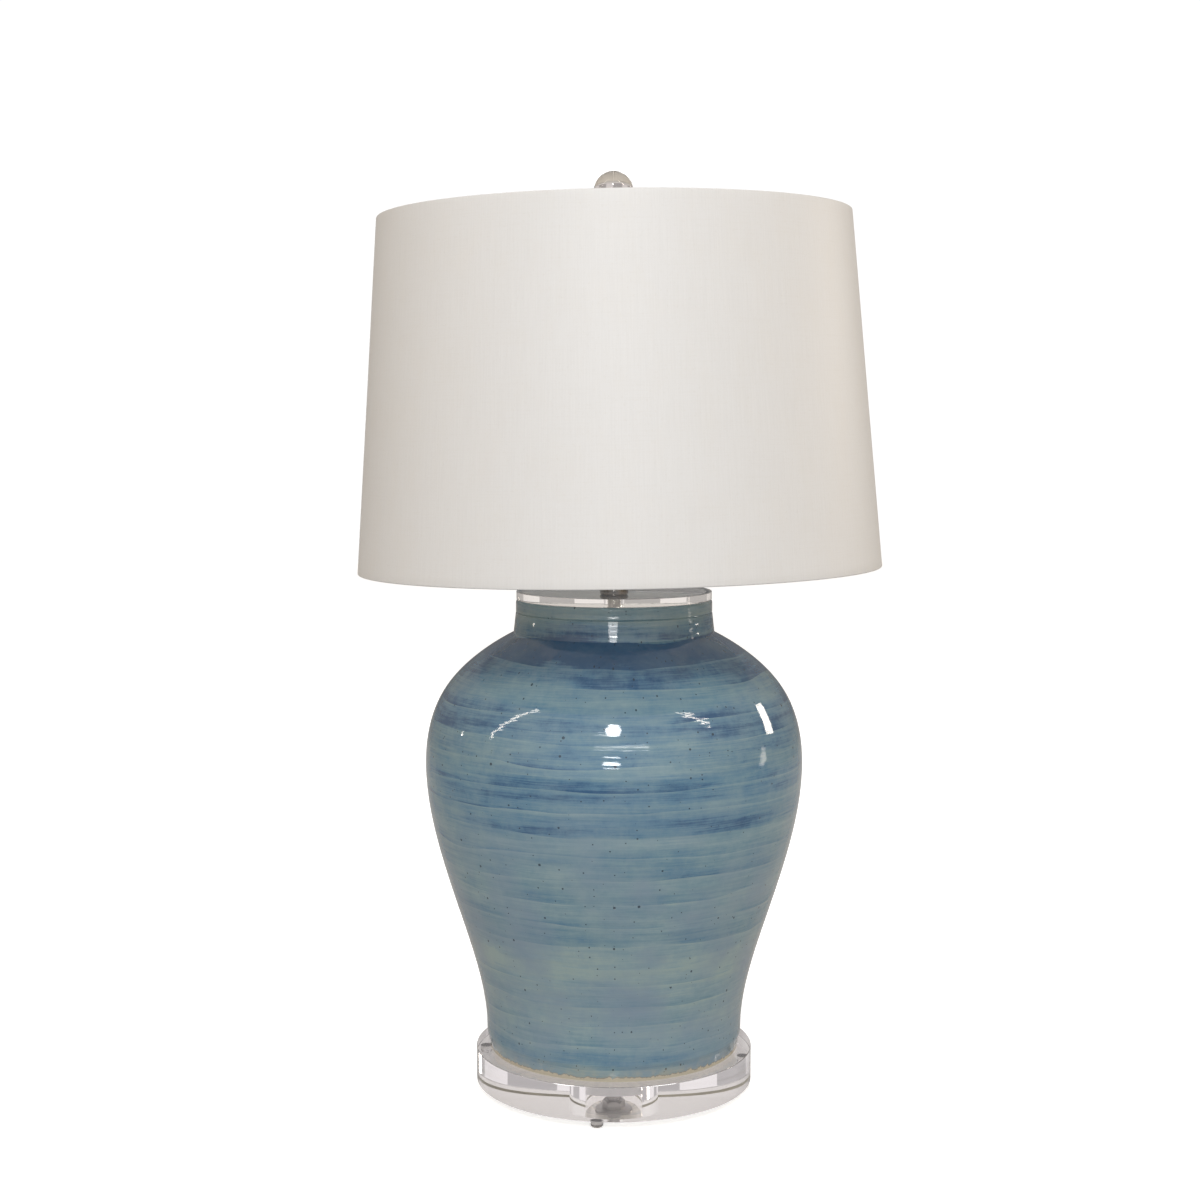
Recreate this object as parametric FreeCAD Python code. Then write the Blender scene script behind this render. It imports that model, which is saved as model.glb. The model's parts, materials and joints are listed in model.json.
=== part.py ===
"""Table lamp with a drum shade: ceramic jar between two clear acrylic discs.

Millimetres.  The origin is the middle of the lamp on the surface it stands on,
+Z points up, the cord outlet is at the back (+Y).  The parts that hang on the
harp's stud are made in the stud's own frame and then leaned with it.
"""
import FreeCAD
import Part
import math
import os

# ---- driving sizes ---------------------------------------------------------
BASE_DIAMETER = 218.4
BASE_THICKNESS = 26.7
JAR_HEIGHT = 355.2
BELLY_DIAMETER = 295.6
NECK_DIAMETER = 153.6
CAP_THICKNESS = 6.6
HARP_HEIGHT = 254.0
SHADE_BOTTOM_DIAMETER = 406.4
SHADE_TOP_DIAMETER = 364.0
SHADE_HEIGHT = 271.2
BALL_DIAMETER = 30.3
SHADE_LEAN = 0.96          # degrees, the stud's top towards -X

# ---- standard lamp hardware ------------------------------------------------
PIPE_RADIUS = 4.95         # 1/8 IP threaded pipe
PIPE_WALL = 1.75
PIPE_BORE = PIPE_RADIUS - PIPE_WALL
PIPE_PLAY = 0.4
PIPE_HOLE = PIPE_RADIUS + PIPE_PLAY    # clearance hole for the pipe
STUD_RADIUS = 3.175        # 1/4-27 stud on top of the harp
WIRE_RADIUS = 1.6          # harp wire
FRAME_WIRE = 1.5           # radius of the wires of the shade frame
SCREW_SHELL_RADIUS = 13.7  # outside of the socket's screw shell
RUNNING_GAP = 0.06         # radial play of a turning shaft

# ---- feet and base ---------------------------------------------------------
FOOT_RADIUS = 4.8
FOOT_FLAT = 2.0
FOOT_HEIGHT = 5.6
FOOT_COUNT = 4
FOOT_TURN = -7.4           # degrees that the front foot stands off the front
FOOT_INSET = 1.2           # from the disc's edge to a foot's edge
FOOT_CIRCLE = BASE_DIAMETER / 2 - FOOT_RADIUS - FOOT_INSET
BASE_BOTTOM = FOOT_HEIGHT
BASE_TOP = BASE_BOTTOM + BASE_THICKNESS
POCKET_RADIUS = 23.0
POCKET_DEPTH = 0.68 * BASE_THICKNESS
POCKET_TOP = BASE_BOTTOM + POCKET_DEPTH
LOWER_WASHER_RADIUS = 15.0
LOWER_WASHER_THICKNESS = 1.8
NUT_FLATS = 2 * PIPE_RADIUS + 6.0
NUT_BEVEL = 1.0
LOWER_NUT_THICKNESS = 6.4
POLISHED_EDGE = 0.5

# ---- jar -------------------------------------------------------------------
WALL = 7.0
LIP_ROUND = 2.4
NECK_RADIUS = NECK_DIAMETER / 2
NECK_HEIGHT = 25.9
NECK_FLARE = 1.9           # the neck is this much wider where it meets the body
NECK_SWELL = 0.2           # and this much wider just under its groove
NECK_GROOVE_BELOW_LIP = 9.9
NECK_GROOVE_DEPTH = 0.7
BODY_HEIGHT = JAR_HEIGHT - NECK_HEIGHT
BELLY_RADIUS = BELLY_DIAMETER / 2
FOOT_RING_RADIUS = 0.663 * BELLY_RADIUS
FOOT_RING_WIDTH = 11.0
FOOT_RING_RECESS = 3.0
FOOT_RING_ROUND = 1.5
JAR_FLOOR = 10.0
FLOOR_TUCK = 0.6           # the inside narrows this much where it meets the floor
JAR_BOTTOM = BASE_TOP
JAR_TOP = JAR_BOTTOM + JAR_HEIGHT
# the body's outline: (share of its height, share of the belly's radius)
BODY_STATIONS = (
    (0.040, 0.681),
    (0.125, 0.697),
    (0.243, 0.761),
    (0.359, 0.844),
    (0.475, 0.923),
    (0.591, 0.981),
    (0.684, 1.000),
    (0.758, 0.988),
    (0.858, 0.908),
    (0.945, 0.728),
)

# ---- cord outlet, low at the back of the jar -------------------------------
OUTLET_HEIGHT = 30.0       # above the jar's foot
OUTLET_BORE = 3.5
BUSHING_RADIUS = 6.0
BUSHING_FLANGE = 8.5
BUSHING_FLANGE_DEPTH = 2.4
FLANGE_SINK = 1.5          # how far the flange reaches behind the wall's face
BUSHING_LENGTH = WALL + 5.0
SLOT_WIDTH = 5.0
SLOT_HEIGHT = 18.0

# ---- stack on top of the cap -----------------------------------------------
CAP_RADIUS = NECK_RADIUS - 0.4
CAP_TOP = JAR_TOP + CAP_THICKNESS
RING_RADIUS = PIPE_HOLE + 5.75
RING_HEIGHT = 6.4
RING_GROOVE = 0.9
RISER_RADIUS = PIPE_HOLE + 2.55
RISER_HEIGHT = 9.6
RISER_BEAD = 1.4
SADDLE_SHEET = WIRE_RADIUS
SADDLE_BOTTOM = CAP_TOP + RING_HEIGHT + RISER_HEIGHT
SADDLE_TOP = SADDLE_BOTTOM + SADDLE_SHEET
SADDLE_WIDTH = 2 * PIPE_HOLE + 1.3
SADDLE_FLAT = 19.0         # half length of the level part
SADDLE_ARM_RISE = 17.0
SADDLE_ELBOW = 0.55        # share of the rise where the arm turns upright
TAB_WIDTH = 2 * WIRE_RADIUS
TAB_HEIGHT = 7.0
TAB_ROOT = 1.0             # how far a tab runs down into the arm
HARP_FOOT_X = 27.0
HARP_FOOT_Z = SADDLE_TOP + SADDLE_ARM_RISE + TAB_HEIGHT
FERRULE_BORE = WIRE_RADIUS + 0.35
FERRULE_RADIUS = FERRULE_BORE + 1.15
FERRULE_LENGTH = 14.0
FERRULE_LIP = 0.6
SADDLE_NUT_THICKNESS = 3.0

# ---- socket ----------------------------------------------------------------
SOCKET_BOTTOM = SADDLE_TOP + SADDLE_NUT_THICKNESS
SOCKET_HUB_RADIUS = PIPE_RADIUS + 2.65
SOCKET_HUB_HEIGHT = 6.0
SOCKET_FLARE_HEIGHT = 6.0
SET_SCREW_RADIUS = 1.5
SET_SCREW_HEIGHT = 2.4     # of its axis above the socket's bottom
SET_SCREW_PROUD = 1.4
SOCKET_RADIUS = SCREW_SHELL_RADIUS + 3.0
SOCKET_CAP_HEIGHT = 20.0
SOCKET_SHEET = 0.7
SHELL_RADIUS = SOCKET_RADIUS - SOCKET_SHEET
SHELL_BOTTOM = SOCKET_BOTTOM + 14.0
SHELL_HEIGHT = 41.0
SHELL_BEAD = 0.9
SHELL_BEAD_BELOW_TOP = 6.0
SHELL_OPENING = 3.4        # radius of the hole for the switch
INSULATOR_SHEET = 0.6
INSULATOR_OPENING = 3.2
INSULATOR_FOOT = 1.0       # above the shell's bottom
INSULATOR_HEAD = 1.5       # below the shell's top
BODY_BLOCK_RADIUS = SHELL_RADIUS - SOCKET_SHEET - INSULATOR_SHEET
BODY_BLOCK_BOTTOM = SHELL_BOTTOM + 2.0
BODY_BLOCK_HEIGHT = 15.0
BODY_BLOCK_TOP = BODY_BLOCK_BOTTOM + BODY_BLOCK_HEIGHT
REBATE_DEPTH = 4.5         # the two rebates that hold the terminal screws
REBATE_WIDTH = 9.0
REBATE_HEIGHT = 7.0
TERMINAL_RADIUS = 2.7
TERMINAL_THICKNESS = 1.8
SCREW_SLOT_WIDTH = 0.7
SCREW_SLOT_DEPTH = 0.6
SCREW_SHELL_SHEET = 0.5
SCREW_SHELL_HEIGHT = 22.0
SCREW_SHELL_TURNS = 6
THREAD_DEPTH = 0.4
CONTACT_RADIUS = 3.5
CONTACT_HEIGHT = 1.6
CONTACT_ROUND = 0.5
CONTACT_CLEARANCE = 2.0    # between the contact and the screw shell's floor
PIPE_ABOVE_HUB = 3.0
PIPE_TOP = SOCKET_BOTTOM + SOCKET_HUB_HEIGHT + PIPE_ABOVE_HUB
PIPE_RECESS = 4.0          # from the base's underside to the pipe's end
PIPE_BOTTOM = BASE_BOTTOM + PIPE_RECESS

# ---- turn switch, its shaft points to the front ----------------------------
SWITCH_Z = BODY_BLOCK_BOTTOM + 0.5 * BODY_BLOCK_HEIGHT
SHAFT_RADIUS = 1.8
SHAFT_INNER_END = 5.0
KNOB_RADIUS = 5.6
KNOB_LENGTH = 12.0
KNOB_GAP = 3.5             # between the socket and the knob
KNOB_NEAR_END = SOCKET_RADIUS + KNOB_GAP
KNOB_RIBS = 18
KNOB_NOSE = 2.0
KNOB_BACK = 1.2
SHAFT_SHORT_OF_NOSE = 3.0

# ---- bulb ------------------------------------------------------------------
BULB_Z = BODY_BLOCK_TOP + CONTACT_HEIGHT
BULB_RADIUS = 30.0
BULB_LENGTH = 108.0
BULB_GAP = 0.3
BULB_BASE_RADIUS = SCREW_SHELL_RADIUS - SCREW_SHELL_SHEET - BULB_GAP
BULB_BASE_SHEET = 1.5
BULB_BASE_TURNS = 5
BULB_THREAD_DEPTH = 0.6
BULB_TIP_HEIGHT = 1.6
BULB_TIP_FLARE = 1.0
BULB_COLLAR_HEIGHT = 3.4
BULB_BASE_HEIGHT = 21.0
BULB_GLASS = 0.9
STEM_RADIUS = 4.5
STEM_TIP_RADIUS = 2.4
STEM_FLARE_HEIGHT = 6.0
STEM_TIP_HEIGHT = 10.0
POST_RADIUS = 0.5
FILAMENT_RADIUS = 0.6

# ---- harp, stud and what hangs on it ---------------------------------------
HARP_PLATE_BOTTOM = SADDLE_TOP + HARP_HEIGHT
HARP_PLATE_THICKNESS = 1.6
HARP_PLATE_RADIUS = 9.5
STUD_FOOT = HARP_PLATE_BOTTOM + HARP_PLATE_THICKNESS
HARP_HALF_WIDTH = 0.228 * HARP_HEIGHT
HARP_STRAIGHT = FERRULE_LENGTH + 10.0
HARP_TOP_HALF = 8.0
LUG_LENGTH = 4.0
LUG_PLACE = 4.5            # middle of a lug from the stud's axis
STUD_BEVEL = 0.8
# a leg's curve over its straight foot: (share of its rise, share of the half width)
HARP_STATIONS = (
    (0.22, 0.861),
    (0.48, 1.000),
    (0.78, 0.840),
    (0.95, 0.440),
)

# ---- the shade, heights above the stud's foot ------------------------------
HUB_RADIUS = 12.5
HUB_THICKNESS = 2.4
FINIAL_WASHER_RADIUS = 9.0
FINIAL_WASHER_THICKNESS = 1.2
RIM = 15.5                 # the shade's top edge above the stud's foot
SHADE_FOOT = RIM - SHADE_HEIGHT
FABRIC = 0.6
LINER = 0.8
HEM_DROP = 8.0
SEAT_GAP = 0.1             # a frame ring's play to the fabric folded over it
HUB_PLAY = 0.35            # radial play of the hub on the stud
ARM_COUNT = 3
ARM_BEND = 0.6             # share of the arm's rise that its bend takes
FINIAL_FOOT = HUB_THICKNESS + FINIAL_WASHER_THICKNESS
BALL_RADIUS = BALL_DIAMETER / 2
BALL_ABOVE_RIM = 4.7
BALL_CENTRE = RIM + BALL_ABOVE_RIM + BALL_RADIUS
STUD_IN_FINIAL = 11.0
STUD_LENGTH = FINIAL_FOOT + STUD_IN_FINIAL
FINIAL_BORE = STUD_RADIUS + RUNNING_GAP
FINIAL_END_GAP = 0.8
FINIAL_FLANGE_RADIUS = 7.6
FINIAL_FLANGE_HEIGHT = 1.8
FINIAL_WAIST_RADIUS = 5.0
FINIAL_CUP_RADIUS = 7.2
FINIAL_CUP_DEPTH = 2.2
FINIAL_CUP_LIP = 0.6
FINIAL_TAPER = 4.0

Z_AXIS = FreeCAD.Vector(0, 0, 1)
Y_AXIS = FreeCAD.Vector(0, 1, 0)
X_AXIS = FreeCAD.Vector(1, 0, 0)
ORIGIN = FreeCAD.Vector(0, 0, 0)


# ---- small tools -----------------------------------------------------------
def at(x, y, z):
    """A point or a direction."""
    return FreeCAD.Vector(x, y, z)


def on_section(points):
    """(radius, height) pairs as points of the X-Z plane."""
    return [at(radius, 0, height) for radius, height in points]


def turned_edges(edges):
    """Solid turned round the Z axis from the closed run of edges."""
    face = Part.Face(Part.Wire(Part.__sortEdges__(edges)))
    return face.revolve(ORIGIN, Z_AXIS, 360)


def turned(outline):
    """Solid turned round the Z axis from straight-sided (radius, height) points."""
    points = on_section(outline)
    face = Part.Face(Part.makePolygon(points + points[:1]))
    return face.revolve(ORIGIN, Z_AXIS, 360)


def rod(radius, low, high):
    """Upright round rod on the Z axis."""
    return Part.makeCylinder(radius, high - low, at(0, 0, low))


def tube(outer, inner, low, high):
    """Upright tube on the Z axis."""
    return rod(outer, low, high).cut(rod(inner, low, high))


def hexagon(flats, low, high):
    """Upright hexagonal bar on the Z axis."""
    corner = flats / 2 / math.cos(math.pi / 6)
    points = [at(corner * math.cos(turn * math.pi / 3), corner * math.sin(turn * math.pi / 3), low)
              for turn in range(6)]
    face = Part.Face(Part.makePolygon(points + points[:1]))
    return face.extrude(at(0, 0, high - low))


def curve_through(points, start=None, end=None):
    """Smooth curve through the points, with its end directions when they are given."""
    curve = Part.BSplineCurve()
    if start is None:
        curve.interpolate(points)
    else:
        curve.interpolate(Points=points, InitialTangent=start, FinalTangent=end)
    return curve


def swept_wire(edges, radius):
    """Round wire along the run of edges."""
    path = Part.Wire(edges)
    first = path.OrderedEdges[0]
    start = first.valueAt(first.FirstParameter)
    heading = first.tangentAt(first.FirstParameter)
    section = Part.Wire(Part.makeCircle(radius, start, heading))
    return path.makePipeShell([section], True, False)


def softened(solid, size, places):
    """The solid with the round edges at the (radius, height) places rounded off."""
    chosen = []
    for edge in solid.Edges:
        circle = getattr(edge, "Curve", None)
        if not isinstance(circle, Part.Circle):
            continue
        for radius, height in places:
            if abs(circle.Radius - radius) < 0.01 and abs(circle.Center.z - height) < 0.01:
                chosen.append(edge)
    return solid.makeFillet(size, chosen)


def leaned(shape):
    """Move a shape from the stud's frame to its place on the lamp."""
    placed = shape.copy()
    placed.rotate(ORIGIN, Y_AXIS, -SHADE_LEAN)
    placed.translate(at(0, 0, STUD_FOOT))
    return placed


# ---- feet, base and the hardware under it ----------------------------------
def make_foot(number):
    """Clear domed bumper under the base, with a small flat at its bottom."""
    dome_top = 0.45 * FOOT_HEIGHT
    dome_middle = at(0.86 * FOOT_RADIUS, 0, 0.12 * FOOT_HEIGHT)
    edges = [
        Part.makeLine(at(0, 0, 0), at(FOOT_FLAT, 0, 0)),
        Part.Arc(at(FOOT_FLAT, 0, 0), dome_middle, at(FOOT_RADIUS, 0, dome_top)).toShape(),
        Part.makeLine(at(FOOT_RADIUS, 0, dome_top), at(FOOT_RADIUS, 0, FOOT_HEIGHT)),
        Part.makeLine(at(FOOT_RADIUS, 0, FOOT_HEIGHT), at(0, 0, FOOT_HEIGHT)),
        Part.makeLine(at(0, 0, FOOT_HEIGHT), at(0, 0, 0)),
    ]
    foot = turned_edges(edges)
    foot.translate(at(0, -FOOT_CIRCLE, 0))
    foot.rotate(ORIGIN, Z_AXIS, FOOT_TURN + 360 / FOOT_COUNT * number)
    return foot


def make_base_disc():
    """Thick acrylic disc with a pocket in its underside for the washer and nut."""
    radius = BASE_DIAMETER / 2
    disc = rod(radius, BASE_BOTTOM, BASE_TOP)
    disc = softened(disc, POLISHED_EDGE, [(radius, BASE_BOTTOM), (radius, BASE_TOP)])
    disc = disc.cut(rod(POCKET_RADIUS, BASE_BOTTOM, POCKET_TOP))
    return disc.cut(rod(PIPE_HOLE, POCKET_TOP, BASE_TOP))


def make_lower_washer():
    return tube(LOWER_WASHER_RADIUS, PIPE_HOLE, POCKET_TOP - LOWER_WASHER_THICKNESS, POCKET_TOP)


def make_lower_nut():
    """Hexagonal nut on the pipe under the washer, corners turned off."""
    top = POCKET_TOP - LOWER_WASHER_THICKNESS
    bottom = top - LOWER_NUT_THICKNESS
    corner = NUT_FLATS / 2 / math.cos(math.pi / 6)
    bevel = turned([
        (0, bottom), (NUT_FLATS / 2, bottom), (corner, bottom + NUT_BEVEL),
        (corner, top), (0, top),
    ])
    return hexagon(NUT_FLATS, bottom, top).common(bevel).cut(rod(PIPE_RADIUS, bottom, top))


# ---- jar -------------------------------------------------------------------
def body_curve():
    """Outer outline of the jar's body, from the foot to where the neck starts."""
    points = [(share * BELLY_RADIUS, JAR_BOTTOM + part * BODY_HEIGHT)
              for part, share in BODY_STATIONS]
    points.append((NECK_RADIUS + NECK_FLARE, JAR_BOTTOM + BODY_HEIGHT))
    return curve_through(on_section(points))


def jar_radius(height):
    """Outer radius of the jar's body at a height above its foot."""
    line = Part.makeLine(at(0, 0, JAR_BOTTOM + height), at(BELLY_RADIUS + WALL, 0, JAR_BOTTOM + height))
    return line.distToShape(body_curve().toShape())[1][0][0].x


def inner_curve():
    """Inner outline of the body: the outer one moved in by the wall."""
    outer = body_curve()
    floor = JAR_BOTTOM + JAR_FLOOR + WALL
    roof = JAR_BOTTOM + BODY_HEIGHT - WALL
    points = []
    steps = 14
    for step in range(steps + 1):
        share = outer.FirstParameter + (outer.LastParameter - outer.FirstParameter) * step / steps
        place = outer.value(share)
        along = outer.tangent(share)[0]
        inside = at(-along.z, 0, along.x).normalize()
        point = place + inside * WALL
        if floor < point.z < roof and point.x > NECK_RADIUS - WALL:
            points.append(point)
    points.insert(0, at(points[0].x - FLOOR_TUCK, 0, floor))
    points.append(at(NECK_RADIUS - WALL, 0, roof))
    return curve_through(points)


def make_jar():
    """Hollow turned ceramic: foot ring, belly, shoulder, straight neck and lip."""
    outer = body_curve().toShape()
    inner = inner_curve().toShape()
    body_foot = outer.valueAt(outer.FirstParameter)
    shoulder = outer.valueAt(outer.LastParameter)
    inner_foot = inner.valueAt(inner.FirstParameter)
    inner_top = inner.valueAt(inner.LastParameter)
    floor = JAR_BOTTOM + JAR_FLOOR
    recess = JAR_BOTTOM + FOOT_RING_RECESS
    ring_inside = FOOT_RING_RADIUS - FOOT_RING_WIDTH
    groove = JAR_TOP - NECK_GROOVE_BELOW_LIP
    section = [
        (inner_top.x, JAR_TOP),
        (NECK_RADIUS, JAR_TOP),
        (NECK_RADIUS, groove + NECK_GROOVE_DEPTH),
        (NECK_RADIUS - NECK_GROOVE_DEPTH, groove),
        (NECK_RADIUS + NECK_SWELL, groove - NECK_GROOVE_DEPTH),
        (shoulder.x, shoulder.z),
    ]
    under = [
        (body_foot.x, body_foot.z),
        (FOOT_RING_RADIUS, JAR_BOTTOM),
        (ring_inside, JAR_BOTTOM),
        (ring_inside, recess),
        (PIPE_HOLE, recess),
        (PIPE_HOLE, floor),
        (inner_foot.x - WALL, floor),
    ]
    edges = [outer, inner]
    for run in (section, under):
        corners = on_section(run)
        edges += [Part.makeLine(a, b) for a, b in zip(corners, corners[1:])]
    sagitta = (1 - math.sqrt(0.5)) * WALL
    corner_start = at(inner_foot.x - WALL, 0, floor)
    corner_middle = at(inner_foot.x - sagitta, 0, floor + sagitta)
    edges.append(Part.Arc(corner_start, corner_middle, inner_foot).toShape())
    edges.append(Part.makeLine(inner_top, at(inner_top.x, 0, JAR_TOP)))
    jar = turned_edges(edges)
    jar = softened(jar, LIP_ROUND, [(NECK_RADIUS, JAR_TOP), (inner_top.x, JAR_TOP)])
    jar = softened(jar, FOOT_RING_ROUND, [(FOOT_RING_RADIUS, JAR_BOTTOM), (ring_inside, JAR_BOTTOM)])
    drill = Part.makeCylinder(BUSHING_RADIUS, 2 * WALL + BUSHING_FLANGE,
                              at(0, jar_radius(OUTLET_HEIGHT) - 2 * WALL, outlet_z()), Y_AXIS)
    return jar.cut(drill)


# ---- cord outlet -----------------------------------------------------------
def outlet_z():
    return JAR_BOTTOM + OUTLET_HEIGHT


def make_cord_bushing(jar):
    """Flanged bushing in the jar's back hole; its flange is shaped to the wall."""
    face = jar_radius(OUTLET_HEIGHT)
    barrel = Part.makeCylinder(BUSHING_RADIUS, BUSHING_LENGTH,
                               at(0, face - BUSHING_LENGTH, outlet_z()), Y_AXIS)
    flange = Part.makeCylinder(BUSHING_FLANGE, BUSHING_FLANGE_DEPTH + FLANGE_SINK,
                               at(0, face - FLANGE_SINK, outlet_z()), Y_AXIS)
    bore = Part.makeCylinder(OUTLET_BORE, 2 * BUSHING_LENGTH,
                             at(0, face - 1.5 * BUSHING_LENGTH, outlet_z()), Y_AXIS)
    side = 4 * BUSHING_FLANGE
    near = Part.makeBox(side, side, side, at(-side / 2, face - side / 2, outlet_z() - side / 2))
    wall = jar.common(near)
    return barrel.fuse(flange.cut(wall)).cut(bore).removeSplitter()


def make_lamp_pipe():
    """Threaded pipe that clamps the lamp together, with a window for the cord."""
    pipe = tube(PIPE_RADIUS, PIPE_BORE, PIPE_BOTTOM, PIPE_TOP)
    window = Part.makeBox(SLOT_WIDTH, 2 * PIPE_RADIUS, SLOT_HEIGHT,
                          at(-SLOT_WIDTH / 2, 0, outlet_z() - SLOT_HEIGHT / 2))
    return pipe.cut(window)


# ---- cap and neck hardware -------------------------------------------------
def make_cap_disc():
    """Thin acrylic disc that closes the jar's neck."""
    disc = rod(CAP_RADIUS, JAR_TOP, CAP_TOP)
    disc = softened(disc, POLISHED_EDGE, [(CAP_RADIUS, JAR_TOP), (CAP_RADIUS, CAP_TOP)])
    return disc.cut(rod(PIPE_HOLE, JAR_TOP, CAP_TOP))


def make_neck_ring():
    """Low turned ring with a groove round its middle."""
    top = CAP_TOP + RING_HEIGHT
    middle = CAP_TOP + RING_HEIGHT / 2
    return turned([
        (PIPE_HOLE, CAP_TOP),
        (RING_RADIUS, CAP_TOP),
        (RING_RADIUS, middle - RING_GROOVE),
        (RING_RADIUS - RING_GROOVE, middle),
        (RING_RADIUS, middle + RING_GROOVE),
        (RING_RADIUS, top - RING_GROOVE),
        (RING_RADIUS - RING_GROOVE, top),
        (PIPE_HOLE, top),
    ])


def make_neck_riser():
    """Short turned neck that lifts the harp's saddle off the ring."""
    bottom = CAP_TOP + RING_HEIGHT
    waist = 0.82 * RISER_RADIUS
    return turned([
        (PIPE_HOLE, bottom),
        (RISER_RADIUS, bottom),
        (RISER_RADIUS, bottom + RISER_BEAD),
        (waist, bottom + 2 * RISER_BEAD),
        (waist, SADDLE_BOTTOM - 2 * RISER_BEAD),
        (RISER_RADIUS, SADDLE_BOTTOM - RISER_BEAD),
        (RISER_RADIUS, SADDLE_BOTTOM),
        (PIPE_HOLE, SADDLE_BOTTOM),
    ])


# ---- harp ------------------------------------------------------------------
def make_harp_saddle():
    """Bent strip clamped under the socket; narrow tabs at its ends take the harp."""
    shoulder = SADDLE_TOP + SADDLE_ARM_RISE
    elbow = SADDLE_ELBOW * SADDLE_ARM_RISE
    half = SADDLE_SHEET / 2
    right = [
        (SADDLE_FLAT, SADDLE_BOTTOM),
        (HARP_FOOT_X + half, SADDLE_BOTTOM + elbow),
        (HARP_FOOT_X + half, shoulder),
        (HARP_FOOT_X - half, shoulder),
        (HARP_FOOT_X - half, SADDLE_TOP + elbow),
        (SADDLE_FLAT - half, SADDLE_TOP),
    ]
    left = [(-x, z) for x, z in reversed(right)]
    points = [at(x, -SADDLE_WIDTH / 2, z) for x, z in right + left]
    strip = Part.Face(Part.makePolygon(points + points[:1])).extrude(at(0, SADDLE_WIDTH, 0))
    for side in (-1, 1):
        tab = Part.makeBox(SADDLE_SHEET, TAB_WIDTH, TAB_HEIGHT + TAB_ROOT,
                           at(side * HARP_FOOT_X - half, -TAB_WIDTH / 2, shoulder - TAB_ROOT))
        strip = strip.fuse(tab)
    return strip.cut(rod(PIPE_HOLE, SADDLE_BOTTOM, SADDLE_TOP)).removeSplitter()


def harp_half(side):
    """Edges of one leg, from its foot to the level top; side is -1 or 1."""
    bend = HARP_FOOT_Z + HARP_STRAIGHT
    top = HARP_PLATE_BOTTOM - WIRE_RADIUS
    rise = top - bend
    foot = at(side * HARP_FOOT_X, 0, HARP_FOOT_Z)
    start = at(side * HARP_FOOT_X, 0, bend)
    finish = at(side * HARP_TOP_HALF, 0, top)
    shape = [at(side * part * HARP_HALF_WIDTH, 0, bend + share * rise) for share, part in HARP_STATIONS]
    curve = curve_through([start] + shape + [finish], Z_AXIS * rise, X_AXIS * (-side * rise / 2))
    return [Part.makeLine(foot, start), curve.toShape()], finish


def make_harp_wire():
    """The harp's loop, one bent wire."""
    right, right_top = harp_half(1)
    left, left_top = harp_half(-1)
    return swept_wire(right + [Part.makeLine(right_top, left_top)] + left[::-1], WIRE_RADIUS)


def make_harp_plate(wire):
    """Plate that carries the stud, with two lugs crimped round the wire."""
    plate = rod(HARP_PLATE_RADIUS, -HARP_PLATE_THICKNESS, 0)
    lug_depth = HARP_PLATE_THICKNESS + 1.6 * WIRE_RADIUS
    for side in (-1, 1):
        lug = Part.makeBox(LUG_LENGTH, 4 * WIRE_RADIUS, lug_depth,
                           at(side * LUG_PLACE - LUG_LENGTH / 2, -2 * WIRE_RADIUS, -lug_depth))
        plate = plate.fuse(lug)
    return leaned(plate.removeSplitter()).cut(wire)


def make_harp_stud():
    """Stud that takes the shade and the finial, tip bevelled."""
    return leaned(turned([
        (0, 0), (STUD_RADIUS, 0), (STUD_RADIUS, STUD_LENGTH - STUD_BEVEL),
        (STUD_RADIUS - STUD_BEVEL, STUD_LENGTH), (0, STUD_LENGTH),
    ]))


def make_ferrule(side):
    """Sleeve that locks a harp leg to the saddle's tab."""
    low = SADDLE_TOP + SADDLE_ARM_RISE
    high = low + FERRULE_LENGTH
    rolled = FERRULE_RADIUS + FERRULE_LIP
    sleeve = turned([
        (FERRULE_BORE, low), (rolled, low), (rolled, low + 2 * FERRULE_LIP),
        (FERRULE_RADIUS, low + 3 * FERRULE_LIP), (FERRULE_RADIUS, high - FERRULE_LIP),
        (FERRULE_RADIUS - FERRULE_LIP, high), (FERRULE_BORE, high),
    ])
    sleeve.translate(at(side * HARP_FOOT_X, 0, 0))
    return sleeve


# ---- socket ----------------------------------------------------------------
def make_saddle_nut():
    """Thin hexagonal nut that clamps the saddle to the riser."""
    return hexagon(NUT_FLATS, SADDLE_TOP, SOCKET_BOTTOM).cut(rod(PIPE_RADIUS, SADDLE_TOP, SOCKET_BOTTOM))


def make_socket_cap():
    """Lower half of the socket's shell: threaded hub and a flared cup."""
    hub_top = SOCKET_BOTTOM + SOCKET_HUB_HEIGHT
    flare_bottom = hub_top - 2 * SOCKET_SHEET
    flare_top = hub_top + SOCKET_FLARE_HEIGHT
    top = SOCKET_BOTTOM + SOCKET_CAP_HEIGHT
    cap = turned([
        (PIPE_RADIUS, SOCKET_BOTTOM), (SOCKET_HUB_RADIUS, SOCKET_BOTTOM),
        (SOCKET_HUB_RADIUS, flare_bottom), (SOCKET_RADIUS, flare_top), (SOCKET_RADIUS, top),
        (SHELL_RADIUS, top), (SHELL_RADIUS, flare_top + SOCKET_SHEET / 2),
        (SOCKET_HUB_RADIUS, hub_top), (PIPE_RADIUS, hub_top),
    ])
    place = at(0, 0, SOCKET_BOTTOM + SET_SCREW_HEIGHT)
    return cap.cut(Part.makeCylinder(SET_SCREW_RADIUS, SOCKET_HUB_RADIUS, place, X_AXIS))


def screw_slot(face, radius, height, side):
    """Cutter for a screwdriver slot in a head that faces along X."""
    corner = at(side * face - SCREW_SLOT_DEPTH, -2 * radius, height - SCREW_SLOT_WIDTH / 2)
    return Part.makeBox(2 * SCREW_SLOT_DEPTH, 4 * radius, SCREW_SLOT_WIDTH, corner)


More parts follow.
